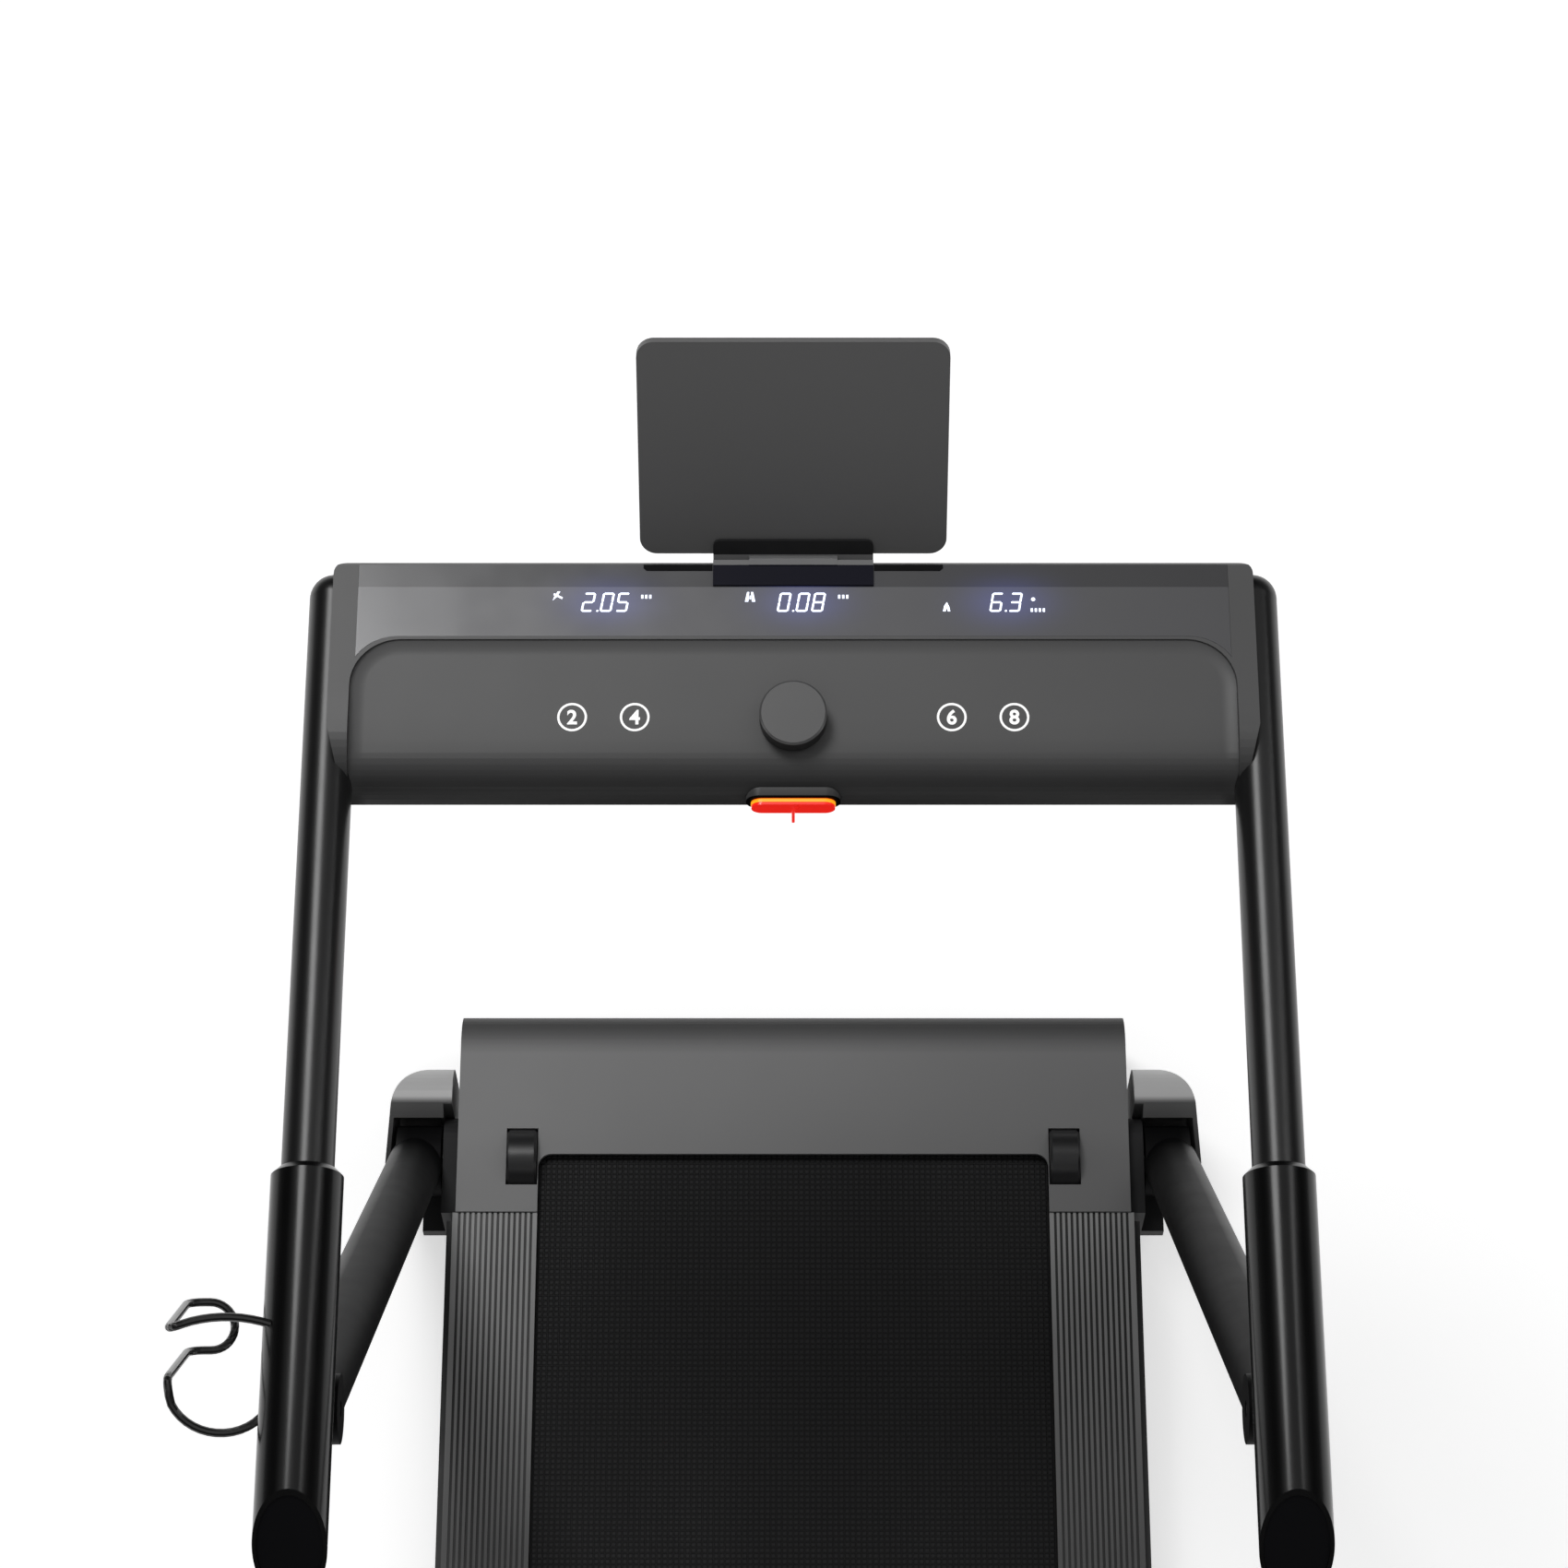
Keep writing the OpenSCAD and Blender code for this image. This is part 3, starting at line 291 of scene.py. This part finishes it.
def glass_material():
    """Smoked display face: painted shade from lighter at its left to darker at its right, a darker
    band at its far edge, and a blue glow about the digits.
    """
    mat, tree, shader, coords = new_material("display_face")
    place = axes(tree, coords)
    across = spread(tree, place["X"], 0, 1, -0.33, 0.33)
    # Painted shade: the face is lighter at its left and darker at its right.
    side = ramp(tree, across, [(0.0, (0.225, 0.225, 0.233)), (0.45, (0.158, 0.158, 0.166)),
                               (1.0, (0.108, 0.108, 0.113))])
    band = spread(tree, place["Y"], 0, 1, BAND_Y - 0.2 * MM, BAND_Y + 0.2 * MM)
    dim = spread(tree, band, 1.0, 0.55, 0, 1)
    tree.links.new(scaled(tree, side, dim), shader.inputs["Base Color"])
    smudge = noise(tree, coords, 30, 6)
    tree.links.new(spread(tree, smudge, 0.15, 0.22), shader.inputs["Roughness"])
    shader.inputs["Specular IOR Level"].default_value = 0.42
    dy = math_node(tree, "DIVIDE", math_node(tree, "SUBTRACT", place["Y"], DIGIT_Y), GLOW_HALF_H)
    glow = None
    for x in DIGIT_SPOTS:
        dx = math_node(tree, "DIVIDE", math_node(tree, "SUBTRACT", place["X"], x), GLOW_HALF_W)
        square = sum_of_squares(tree, dx, dy)
        spot = math_node(tree, "EXPONENT", math_node(tree, "MULTIPLY", square, -1.0))
        glow = spot if glow is None else math_node(tree, "ADD", glow, spot)
    glow = math_node(tree, "MULTIPLY", glow, GLOW_STRENGTH)
    shader.inputs["Emission Color"].default_value = (0.13, 0.17, 0.75, 1)
    tree.links.new(glow, shader.inputs["Emission Strength"])
    bump(tree, shader, smudge, 0.03 * MM, 0.3)
    return mat


def toned(mat, direction, stops, shine=True):
    """Scales a surface's colour, and its shine too, by (place, factor) stops along a direction."""
    tree, shader, coords = reopened(mat)
    dot = tree.nodes.new("ShaderNodeVectorMath")
    dot.operation = "DOT_PRODUCT"
    dot.inputs[1].default_value = direction
    tree.links.new(coords, dot.inputs[0])
    first, last = stops[0][0], stops[-1][0]
    place = spread(tree, dot.outputs["Value"], 0, 1, first, last)
    factor = ramp(tree, place, [((at - first) / (last - first), grey(share))
                                for at, share in stops])
    source = shader.inputs["Base Color"].links[0].from_socket
    tree.links.new(scaled(tree, source, factor), shader.inputs["Base Color"])
    if shine:
        gloss = shader.inputs["Specular IOR Level"]
        tree.links.new(math_node(tree, "MULTIPLY", factor, gloss.default_value), gloss)


def coved(mat):
    """A bump that turns the edge of the console's recess into a soft cove."""
    tree, shader, coords = reopened(mat)
    place = axes(tree, coords)
    across = math_node(tree, "ABSOLUTE", place["X"])
    dx = math_node(tree, "SUBTRACT", across, RECESS_HALF_W - RECESS_CORNER)
    dy = math_node(tree, "SUBTRACT", place["Y"], RECESS_FAR - RECESS_CORNER)
    out_x = math_node(tree, "MAXIMUM", dx, 0.0)
    out_y = math_node(tree, "MAXIMUM", dy, 0.0)
    round_part = math_node(tree, "SQRT", sum_of_squares(tree, out_x, out_y))
    flat_part = math_node(tree, "MINIMUM", math_node(tree, "MAXIMUM", dx, dy), 0.0)
    from_corner = math_node(tree, "ADD", round_part, flat_part)
    from_edge = math_node(tree, "SUBTRACT", from_corner, RECESS_CORNER)
    rise = spread(tree, from_edge, 0, 1, -COVE_REACH, -0.3 * MM)
    bump(tree, shader, math_node(tree, "MULTIPLY", rise, rise), COVE_DEPTH)


def polished_outside(mat, inner_x, outer_x, gloss):
    """Glossier paint on the side that faces outwards, duller on the inner side."""
    tree, shader, coords = reopened(mat)
    across = math_node(tree, "ABSOLUTE", axes(tree, coords)["X"])
    level = shader.inputs["Specular IOR Level"]
    tree.links.new(spread(tree, across, level.default_value, gloss, inner_x, outer_x), level)


def ledge_material(foot_y, plate_y):
    """The tablet's ledge: blue-black foot up to foot_y, grey edge plate up to plate_y, dark lip."""
    mat = surface("tablet_ledge", (0.006, 0.006, 0.0135), 0.4, grain=1300, depth=0.02 * MM,
                  specular=0.08)
    tree, shader, coords = reopened(mat)
    y = axes(tree, coords)["Y"]
    scuff = noise(tree, coords, 90, 5)
    plate = math_node(tree, "LESS_THAN", y, plate_y)
    tone = math_node(tree, "MULTIPLY_ADD", plate, 0.8, math_node(tree, "MULTIPLY", scuff, 0.2))
    edge = ramp(tree, tone, [(0.0, (0.020, 0.020, 0.021)), (0.2, (0.024, 0.024, 0.025)),
                             (0.8, (0.19, 0.19, 0.192)), (1.0, (0.21, 0.21, 0.212))])
    mix = tree.nodes.new("ShaderNodeMix")
    mix.data_type = "RGBA"
    tree.links.new(math_node(tree, "GREATER_THAN", y, foot_y), mix.inputs["Factor"])
    tree.links.new(shader.inputs["Base Color"].links[0].from_socket, mix.inputs["A"])
    tree.links.new(edge, mix.inputs["B"])
    tree.links.new(mix.outputs["Result"], shader.inputs["Base Color"])
    return mat


def lit_material(name, colour, strength):
    """Lit digits, and printed marks with a painted glow: a slightly uneven glow."""
    mat, tree, shader, coords = new_material(name)
    cloud = noise(tree, coords, 500, 2)
    stops = [(0.35, shade(colour, 0.92)), (0.65, colour)]
    tree.links.new(ramp(tree, cloud, stops), shader.inputs["Base Color"])
    tree.links.new(spread(tree, cloud, 0.4, 0.55), shader.inputs["Roughness"])
    return glowing(mat, colour, strength)


def wood_material():
    """Pressed deck board: stained near black, with long grain."""
    mat, tree, shader, coords = new_material("deck_wood")
    grain = noise(tree, coords, 60, 8, (6, 0.4, 6))
    stops = [(0.3, (0.010, 0.008, 0.006)), (0.5, (0.018, 0.014, 0.011)),
             (0.7, (0.028, 0.022, 0.017))]
    tree.links.new(ramp(tree, grain, stops), shader.inputs["Base Color"])
    tree.links.new(spread(tree, grain, 0.5, 0.75), shader.inputs["Roughness"])
    bump(tree, shader, grain, 0.2 * MM, 0.5)
    return mat


def console_plastic(name):
    """The console's dark grey plastic, under the given name."""
    return surface(name, (0.1, 0.1, 0.101), 0.42, grain=1500, depth=0.02 * MM, vary=0.03,
                   smear=0.012, specular=0.38)


LOOKS = {
    "painted_steel": surface("black_paint", (0.0075, 0.0075, 0.0078), 0.3, depth=0.004 * MM,
                             smear=0.015),
    "frame_paint": surface("frame_paint", (0.02, 0.02, 0.021), 0.48, grain=500,
                           depth=0.06 * MM),
    "steel": surface("turned_steel", (0.52, 0.52, 0.54), 0.28, metal=1.0, grain=300,
                     depth=0.03 * MM, vary=0.08, stretch=(1, 9, 9)),
    "bronze": surface("bronze", (0.42, 0.26, 0.10), 0.35, metal=1.0, grain=500,
                      depth=0.03 * MM),
    "cast": surface("cast_iron", (0.035, 0.035, 0.037), 0.55, metal=0.6, grain=350,
                    depth=0.15 * MM, vary=0.2),
    "hood_plastic": surface("hood_plastic", (0.245, 0.245, 0.247), 0.42, grain=1500,
                            depth=0.02 * MM, vary=0.02, smear=0.01, specular=0.25),
    "rail_plastic": rail_material(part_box("left_foot_rail")[1][2]),
    "black_plastic": surface("black_plastic", (0.012, 0.012, 0.0125), 0.45, grain=1300,
                             depth=0.06 * MM),
    "gloss_black": surface("grip_black", (0.003, 0.003, 0.0032), 0.2, grain=600,
                           depth=0.002 * MM, smear=0.015, specular=0.33),
    "console_plastic": console_plastic("console_plastic"),
    "display_face": glass_material(),
    "knob_metal": surface("knob_metal", (0.135, 0.135, 0.136), 0.38, metal=0.25,
                          depth=0.01 * MM, vary=0.04),
    # Painted glow: the red safety key is made to give off red light.
    "key_red": glowing(surface("key_red", (0.92, 0.012, 0.006), 0.3, grain=500,
                               depth=0.02 * MM, coat=0.3, vary=0.05),
                       (1.0, 0.02, 0.01), 0.45),
    "switch_red": surface("switch_red", (0.45, 0.01, 0.01), 0.3, grain=500, depth=0.02 * MM,
                          coat=0.3),
    "belt_rubber": belt_material(),
    "foot_rubber": surface("foot_rubber", (0.012, 0.012, 0.012), 0.75, grain=400,
                           depth=0.2 * MM, vary=0.2),
    "roller_rubber": surface("roller_rubber", (0.016, 0.016, 0.017), 0.34, grain=600,
                             depth=0.05 * MM),
    "board_wood": wood_material(),
    "circuit": surface("circuit_board", (0.02, 0.11, 0.045), 0.35, grain=250, depth=0.2 * MM,
                       vary=0.3),
    "tablet_face": surface("tablet_face", (0.131, 0.131, 0.1315), 0.48, grain=1600,
                           depth=0.01 * MM, vary=0.02, smear=0.01),
    "wire_black": surface("wire_black", (0.009, 0.009, 0.009), 0.24, grain=500,
                          depth=0.02 * MM, coat=0.2),
}
DIGIT_LIGHT = lit_material("digit_light", (0.78, 0.84, 1.0), 1.7)
# Painted glow: the printed marks beside the knob are made to give off light.
MARK_WHITE_PAINTED_GLOW = lit_material("mark_white_painted_glow", (0.9, 0.9, 0.9), 0.55)
# Painted glow: the orange lip round the safety key is made to give off light.
KEY_RIM_PAINTED_GLOW = glowing(surface("key_rim", (0.95, 0.3, 0.01), 0.35, grain=500, depth=0.02 * MM,
                          vary=0.05), (1.0, 0.42, 0.01), 0.7)
REST_BLACK = surface("rest_rubber", (0.004, 0.004, 0.005), 0.6, depth=0.05 * MM,
                     specular=0.08)
ARM_BLACK = surface("arm_black", (0.006, 0.006, 0.0063), 0.5, depth=0.004 * MM, smear=0.02,
                    specular=0.05)
BRACKET_GREY = surface("bracket_paint", (0.03, 0.03, 0.031), 0.5, depth=0.01 * MM,
                       specular=0.1)
# Painted light: the shrouds' grey is much lighter than the hood's, for the light on their tops.
SHROUD_GREY_PAINTED_LIGHT = surface("shroud_grey_painted_light", (0.6, 0.6, 0.6), 0.42, grain=1500, depth=0.02 * MM,
                      vary=0.02, smear=0.01)
SOCKET_LOOK = console_plastic("socket_plastic")
LEDGE_LOOK = ledge_material(LEDGE_FOOT_Y, LEDGE_PLATE_Y)

# Nodes that don't look like the rest of their slot.
OWN_LOOKS = {
    "left_pivot_shroud": SHROUD_GREY_PAINTED_LIGHT, "right_pivot_shroud": SHROUD_GREY_PAINTED_LIGHT,
    "left_arm": ARM_BLACK, "right_arm": ARM_BLACK, "key_socket": SOCKET_LOOK,
    "tablet_ledge": LEDGE_LOOK, "grip_end_caps": REST_BLACK, "pivot_brackets": BRACKET_GREY,
}
SLOTS = {part["node"]: part["material_slot"] for part in frame["record"]["subparts"]}
BODY_OF = {node: body for body, nodes in frame["record"]["behaviour"]["bodies"].items()
           for node in nodes}


def tone_looks():
    """Puts each tone, cove and polish into its material: painted shade on the console, socket,
    shroud and hood, and the knob's darker side.
    """
    knob_at, knob_up = floor_plane()
    knob_top = knob_at.dot(knob_up) + KNOB_HEIGHT
    toned(LOOKS["console_plastic"], ALONG, CONSOLE_ROLL_PAINTED_SHADE)
    toned(SOCKET_LOOK, ALONG, SOCKET_ROLL_PAINTED_SHADE)
    toned(LOOKS["knob_metal"], knob_up, [(knob_top + at, share) for at, share in KNOB_SIDE])
    toned(SHROUD_GREY_PAINTED_LIGHT, UP_AND_FORWARD, SHROUD_PAINTED_SHADE)
    toned(LOOKS["hood_plastic"], ALONG, HOOD_ROLL_PAINTED_SHADE)
    toned(LOOKS["hood_plastic"], ACROSS, HOOD_SIDE_PAINTED_SHADE, shine=False)
    polished_outside(ARM_BLACK, ARM_INNER_X, ARM_OUTER_X, ARM_OUTER_GLOSS)
    coved(LOOKS["console_plastic"])


def dress_nodes():
    """Gives every CAD node its own slot's material."""
    for name, obj in frame["nodes"].items():
        obj.data.materials.clear()
        obj.data.materials.append(LOOKS[SLOTS[name]])


# ---------------------------------------------------------------- pieces
def add_piece(name, mesh, mat, body):
    """A piece of the visual model that rides with a body and wears the given material."""
    obj = bpy.data.objects.new(name, mesh)
    bpy.context.scene.collection.objects.link(obj)
    mesh.materials.clear()
    mesh.materials.append(mat)
    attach(obj, body)
    return obj


def soften(node, width):
    """Stands a copy of a CAD node, with its hard edges rounded, in that node's place."""
    mesh = frame["nodes"][node].data.copy()
    look = OWN_LOOKS.get(node, LOOKS[SLOTS[node]])
    obj = add_piece(node + "_soft", mesh, look, BODY_OF[node])
    for polygon in mesh.polygons:
        polygon.use_smooth = True
    if width > 0:
        bevel = obj.modifiers.new("edges", "BEVEL")
        bevel.width = width
        bevel.segments = EDGE_SEGMENTS
        bevel.limit_method = "ANGLE"
        bevel.angle_limit = EDGE_ANGLE
        bevel.harden_normals = True
    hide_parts(node)


def new_mesh(name, points, faces):
    """A mesh from its points and faces."""
    mesh = bpy.data.meshes.new(name)
    mesh.from_pydata(points, [], faces)
    mesh.update()
    return mesh


def anticlockwise(outline):
    """The same outline, in the order that makes its plate's faces point outwards."""
    area = sum(a[0] * b[1] - b[0] * a[1] for a, b in zip(outline, outline[1:] + outline[:1]))
    return outline if area > 0 else outline[::-1]


def plate_mesh(name, outlines, thickness, z):
    """Thin plates, one for each outline of (x, y) points, drawn up from z."""
    points, faces = [], []
    for outline in map(anticlockwise, outlines):
        start, count = len(points), len(outline)
        points += [(x, y, z) for x, y in outline] + [(x, y, z + thickness) for x, y in outline]
        faces.append([start + i for i in reversed(range(count))])
        faces.append([start + count + i for i in range(count)])
        for i in range(count):
            j = (i + 1) % count
            faces.append([start + i, start + j, start + count + j, start + count + i])
    return new_mesh(name, points, faces)


def loop_mesh(name, sections):
    """A closed band: each section's points joined to the next one's, the last to the first."""
    size = len(sections[0])
    faces = []
    for i in range(len(sections)):
        here, there = size * i, size * ((i + 1) % len(sections))
        for k in range(size):
            m = (k + 1) % size
            faces.append([here + k, there + k, there + m, here + m])
    return new_mesh(name, [point for section in sections for point in section], faces)


def digit_outlines(char, x, y, width, height, line):
    """The lit bars of one leaning seven-bar digit, with its lower left corner at (x, y)."""
    if char == ".":
        bars = [(0, 0, line, line)]
    else:
        half = height / 2
        gap, end, inset, mid_inset = line * 0.18, line * 0.5, line * 0.6, line * 0.8
        places = {
            "a": (inset, height - line, width - inset, height),
            "b": (width - line, half + gap, width, height - end),
            "c": (width - line, end, width, half - gap),
            "d": (inset, 0, width - inset, line),
            "e": (0, end, line, half - gap),
            "f": (0, half + gap, line, height - end),
            "g": (mid_inset, half - line / 2, width - mid_inset, half + line / 2),
        }
        bars = [places[s] for s in SEGMENTS[char]]
    outlines = []
    for x0, y0, x1, y1 in bars:
        cut = min(x1 - x0, y1 - y0) * 0.3
        corners = [(x0 + cut, y0), (x1 - cut, y0), (x1, y0 + cut), (x1, y1 - cut),
                   (x1 - cut, y1), (x0 + cut, y1), (x0, y1 - cut), (x0, y0 + cut)]
        outlines.append([(x + px + LEAN * py, y + py) for px, py in corners])
    return outlines


def reading(name, text, x, z):
    """One lit number on the display, from x on."""
    height, width, line = 15.8 * MM, 8.8 * MM, 1.5 * MM
    digit_step, point_step = 11.6 * MM, 2.4 * MM
    outlines = []
    for char in text:
        outlines += digit_outlines(char, x, DIGIT_Y - height / 2, width, height, line)
        x += point_step if char == "." else digit_step
    mesh = plate_mesh(name, outlines, MARK_THICK, z)
    add_piece(name, mesh, DIGIT_LIGHT, "handrail")


def ticks(x, y, count, height):
    """Outlines of a row of upright ticks, 1.6 mm wide and 3 mm apart, in mm."""
    wide, apart = 1.6, 3
    lefts = [x + apart * k for k in range(count)]
    return [[(left, y), (left + wide, y), (left + wide, y + height), (left, y + height)]
            for left in lefts]


def disc(x, y, r, count=20):
    """A circle's outline."""
    turns = [2 * math.pi * i / count for i in range(count)]
    return [(x + r * math.cos(turn), y + r * math.sin(turn)) for turn in turns]


def small_marks(z):
    """Plain icons and tick marks beside the readings, with no lettering. Outlines in mm."""
    icons = [
        [(-179.5, 712), (-176.5, 715), (-174, 719.5), (-175.8, 719.5), (-178, 716)],
        [(-178.5, 718), (-172, 714.5), (-172.6, 713.2), (-179, 716.6)],
        [(-36, 711), (-34.4, 719), (-32.9, 719), (-33.6, 711)],
        [(-30.8, 711), (-31.5, 719), (-30, 719), (-28.4, 711)],
        [(-32.7, 713), (-32.5, 716), (-31.7, 716), (-31.5, 713)],
        [(111.6, 703), (112.6, 707.5), (114.6, 710.6), (116.2, 707), (117, 703), (115.2, 703),
         (114.4, 706.2), (113.6, 703)],
        disc(179, 713, 1.5),
    ]
    icons += ticks(-113.5, 713.6, 3, 3.0) + ticks(33.5, 713.6, 3, 3.0)
    icons += ticks(177, 702.6, 4, 2.8)
    outlines = [[(x * MM, y * MM) for x, y in outline] for outline in icons]
    mesh = plate_mesh("display_icons", outlines, MARK_THICK, z)
    add_piece("display_icons", mesh, DIGIT_LIGHT, "handrail")


def floor_plane():
    """A point and the normal of the console's dished floor, from the knob's own turning axis."""
    joints = frame["record"]["behaviour"]["joints"]
    joint = next(j for j in joints if j["name"] == "knob_turn")
    return Vector(joint["pos_m"]), Vector(joint["axis"]).normalized()


def on_floor(x, y):
    """A matrix that lays XY on the console's dished floor at (x, y)."""
    origin, normal = floor_plane()
    z = origin.z - (y - origin.y) * normal.y / normal.z
    tilt = Matrix.Rotation(math.atan2(-normal.y, normal.z), 4, "X")
    return Matrix.Translation((x, y, z + MARK_CLEAR)) @ tilt


def ring_mesh(name, r_out, r_in, thickness, count=64):
    """A flat ring round the origin, drawn up from z = 0."""
    profile = ((r_out, 0), (r_out, thickness), (r_in, thickness), (r_in, 0))
    turns = [2 * math.pi * i / count for i in range(count)]
    return loop_mesh(name, [[(r * math.cos(turn), r * math.sin(turn), z) for r, z in profile]
                            for turn in turns])


def numeral_mesh(name, text, height):
    """A bold numeral, centred, from Blender's own font."""
    curve = bpy.data.curves.new(name + "_outline", "FONT")
    curve.body = text
    curve.size = height * 1.36
    curve.align_x = "CENTER"
    curve.align_y = "CENTER"
    curve.extrude = MARK_THICK / 2
    curve.offset = 0.35 * MM
    holder = bpy.data.objects.new(name + "_outline", curve)
    bpy.context.scene.collection.objects.link(holder)
    bpy.context.view_layer.update()
    drawn = holder.evaluated_get(bpy.context.evaluated_depsgraph_get())
    mesh = bpy.data.meshes.new_from_object(drawn)
    bpy.data.objects.remove(holder)
    bpy.data.curves.remove(curve)
    mesh.name = name
    xs, ys, zs = zip(*(v.co for v in mesh.vertices))
    middle = Vector(((min(xs) + max(xs)) / 2, (min(ys) + max(ys)) / 2, sum(zs) / len(zs)))
    mesh.transform(Matrix.Translation(Vector((0, 0, MARK_THICK / 2)) - middle))
    return mesh


def speed_marks():
    """The four touch marks beside the knob: a ringed numeral each, with a painted glow."""
    grow = Matrix.Diagonal((1.17, 1.17, 1, 1))
    for text, x in SPEED_MARKS.items():
        place = on_floor(x, SPEED_MARK_Y)
        ring = ring_mesh("mark_ring_" + text, 11 * MM, 9.3 * MM, MARK_THICK)
        ring.transform(place)
        add_piece("mark_ring_" + text, ring, MARK_WHITE_PAINTED_GLOW, "handrail")
        digit = numeral_mesh("mark_digit_" + text, text, 9.6 * MM)
        digit.transform(place @ grow)
        add_piece("mark_digit_" + text, digit, MARK_WHITE_PAINTED_GLOW, "handrail")


def rest_pad():
    """A thin black rubber strip along the display's far edge, on both sides of the ledge."""
    inner, outer, near, far, cut = 0.0605, 0.112, 0.7368, 0.7418, 2.2 * MM
    outlines = [[(side * inner, near), (side * (outer - cut), near),
                 (side * outer, near + cut), (side * outer, far), (side * inner, far)]
                for side in (-1, 1)]
    mesh = plate_mesh("rest_pad", outlines, 0.6 * MM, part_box("display_glass")[1][2])
    add_piece("rest_pad", mesh, REST_BLACK, "handrail")


def key_rim():
    """Orange lip round the face of the safety key, with a painted glow: two half circles joined by
    straights.
    """
    low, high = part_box("safety_key")
    radius, steps = 8 * MM, 24
    middle_x, middle_z = (low[0] + high[0]) / 2, high[2] - radius
    straight = (high[0] - low[0]) / 2 - radius
    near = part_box("key_socket")[0][1] - 2.9 * MM
    far = near + 2.6 * MM
    r_in, r_out = radius - 1.2 * MM, radius + 0.4 * MM
    profile = ((r_in, near), (r_in, far), (r_out, far), (r_out, near))
    sections = []
    for side in (1, -1):
        for i in range(steps + 1):
            turn = math.pi * (i / steps - side / 2)
            sections.append([(middle_x + side * straight + r * math.cos(turn), y,
                              middle_z + r * math.sin(turn)) for r, y in profile])
    add_piece("key_rim", loop_mesh("key_rim", sections), KEY_RIM_PAINTED_GLOW, "key")


# ---------------------------------------------------------------- stage
def area_light(name, place, target, size, power):
    """A rectangular light of the given size and watts, aimed at the target."""
    light = bpy.data.lights.new(name, "AREA")
    light.shape = "RECTANGLE"
    light.size, light.size_y = size
    light.energy = power
    obj = bpy.data.objects.new(name, light)
    bpy.context.scene.collection.objects.link(obj)
    obj.location = place
    obj.rotation_euler = (Vector(target) - Vector(place)).to_track_quat("-Z", "Y").to_euler()


def build_world(scene):
    """A dim surround with a bright ceiling, so that curved faces shade off.

    The camera itself sees it as plain white.
    """
    world = bpy.data.worlds.new("studio")
    scene.world = world
    world.use_nodes = True
    tree = world.node_tree
    background = tree.nodes["Background"]
    coords = tree.nodes.new("ShaderNodeTexCoord").outputs["Generated"]
    stops = [(0.0, grey(0.24)), (0.10, grey(0.10)), (0.40, grey(0.025)), (0.64, grey(0.04)),
             (0.88, grey(0.50)), (1.0, grey(0.62))]
    sky = ramp(tree, axes(tree, coords)["Z"], stops)
    path = tree.nodes.new("ShaderNodeLightPath")
    mix = tree.nodes.new("ShaderNodeMix")
    mix.data_type = "RGBA"
    mix.inputs["B"].default_value = (1, 1, 1, 1)
    tree.links.new(path.outputs["Is Camera Ray"], mix.inputs["Factor"])
    tree.links.new(sky, mix.inputs["A"])
    tree.links.new(mix.outputs["Result"], background.inputs["Color"])


def build_floor(scene, half):
    """A pale square floor that glows a little, so that only soft shadows show on it."""
    corners = [(-half, -half, 0), (half, -half, 0), (half, half, 0), (-half, half, 0)]
    mesh = new_mesh("floor", corners, [[0, 1, 2, 3]])
    floor = bpy.data.objects.new("floor", mesh)
    scene.collection.objects.link(floor)
    mat, tree, shader, coords = new_material("pale_floor")
    stops = [(0.3, grey(0.90)), (0.7, grey(0.93))]
    tree.links.new(ramp(tree, noise(tree, coords, 2, 3), stops), shader.inputs["Base Color"])
    shader.inputs["Roughness"].default_value = 0.9
    shader.inputs["Specular IOR Level"].default_value = 0.1
    glowing(mat, (1, 1, 1), 0.55)
    mesh.materials.append(mat)


def build_camera(scene):
    """The camera, above and behind the user."""
    camera = bpy.data.cameras.new("camera")
    camera.lens = 100
    camera.sensor_width = 36
    camera.shift_x = -0.0059
    holder = bpy.data.objects.new("camera", camera)
    scene.collection.objects.link(holder)
    holder.location = (0, -0.745, 3.860)
    holder.rotation_euler = (math.radians(24.2), 0, 0)
    scene.camera = holder


def build_stage():
    """The floor, soft light from all round, and the camera."""
    scene = bpy.context.scene
    scene.view_settings.view_transform = "Standard"
    build_world(scene)
    build_floor(scene, 12)
    area_light("ceiling_soft", (-1.25, 2.1, 4.6), (0, 0.3, 0.5), (1.3, 1.8), 66)
    area_light("right_strip", (2.4, 1.6, 3.6), (0.3, 0.2, 0.9), (0.2, 2.6), 8)
    area_light("left_low", (-3.4, -0.2, 1.0), (0, 0.2, 0.6), (0.5, 3.2), 12)
    area_light("right_low", (3.4, -0.2, 1.0), (0, 0.2, 0.6), (0.5, 3.2), 12)
    area_light("behind_user", (0.0, -3.2, 3.6), (0, 0.2, 0.8), (2.0, 0.8), 5)
    build_camera(scene)


# ---------------------------------------------------------------- the scene
build_stage()
tone_looks()
dress_nodes()
for node_name, width_mm in SOFT_EDGES.items():
    soften(node_name, width_mm * MM)
GLASS_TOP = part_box("display_glass")[1][2] + MARK_CLEAR
reading("reading_speed", "2.05", -0.1585, GLASS_TOP)
reading("reading_distance", "0.08", -0.0125, GLASS_TOP)
reading("reading_energy", "6.3", 0.1460, GLASS_TOP)
small_marks(GLASS_TOP)
speed_marks()
rest_pad()
key_rim()
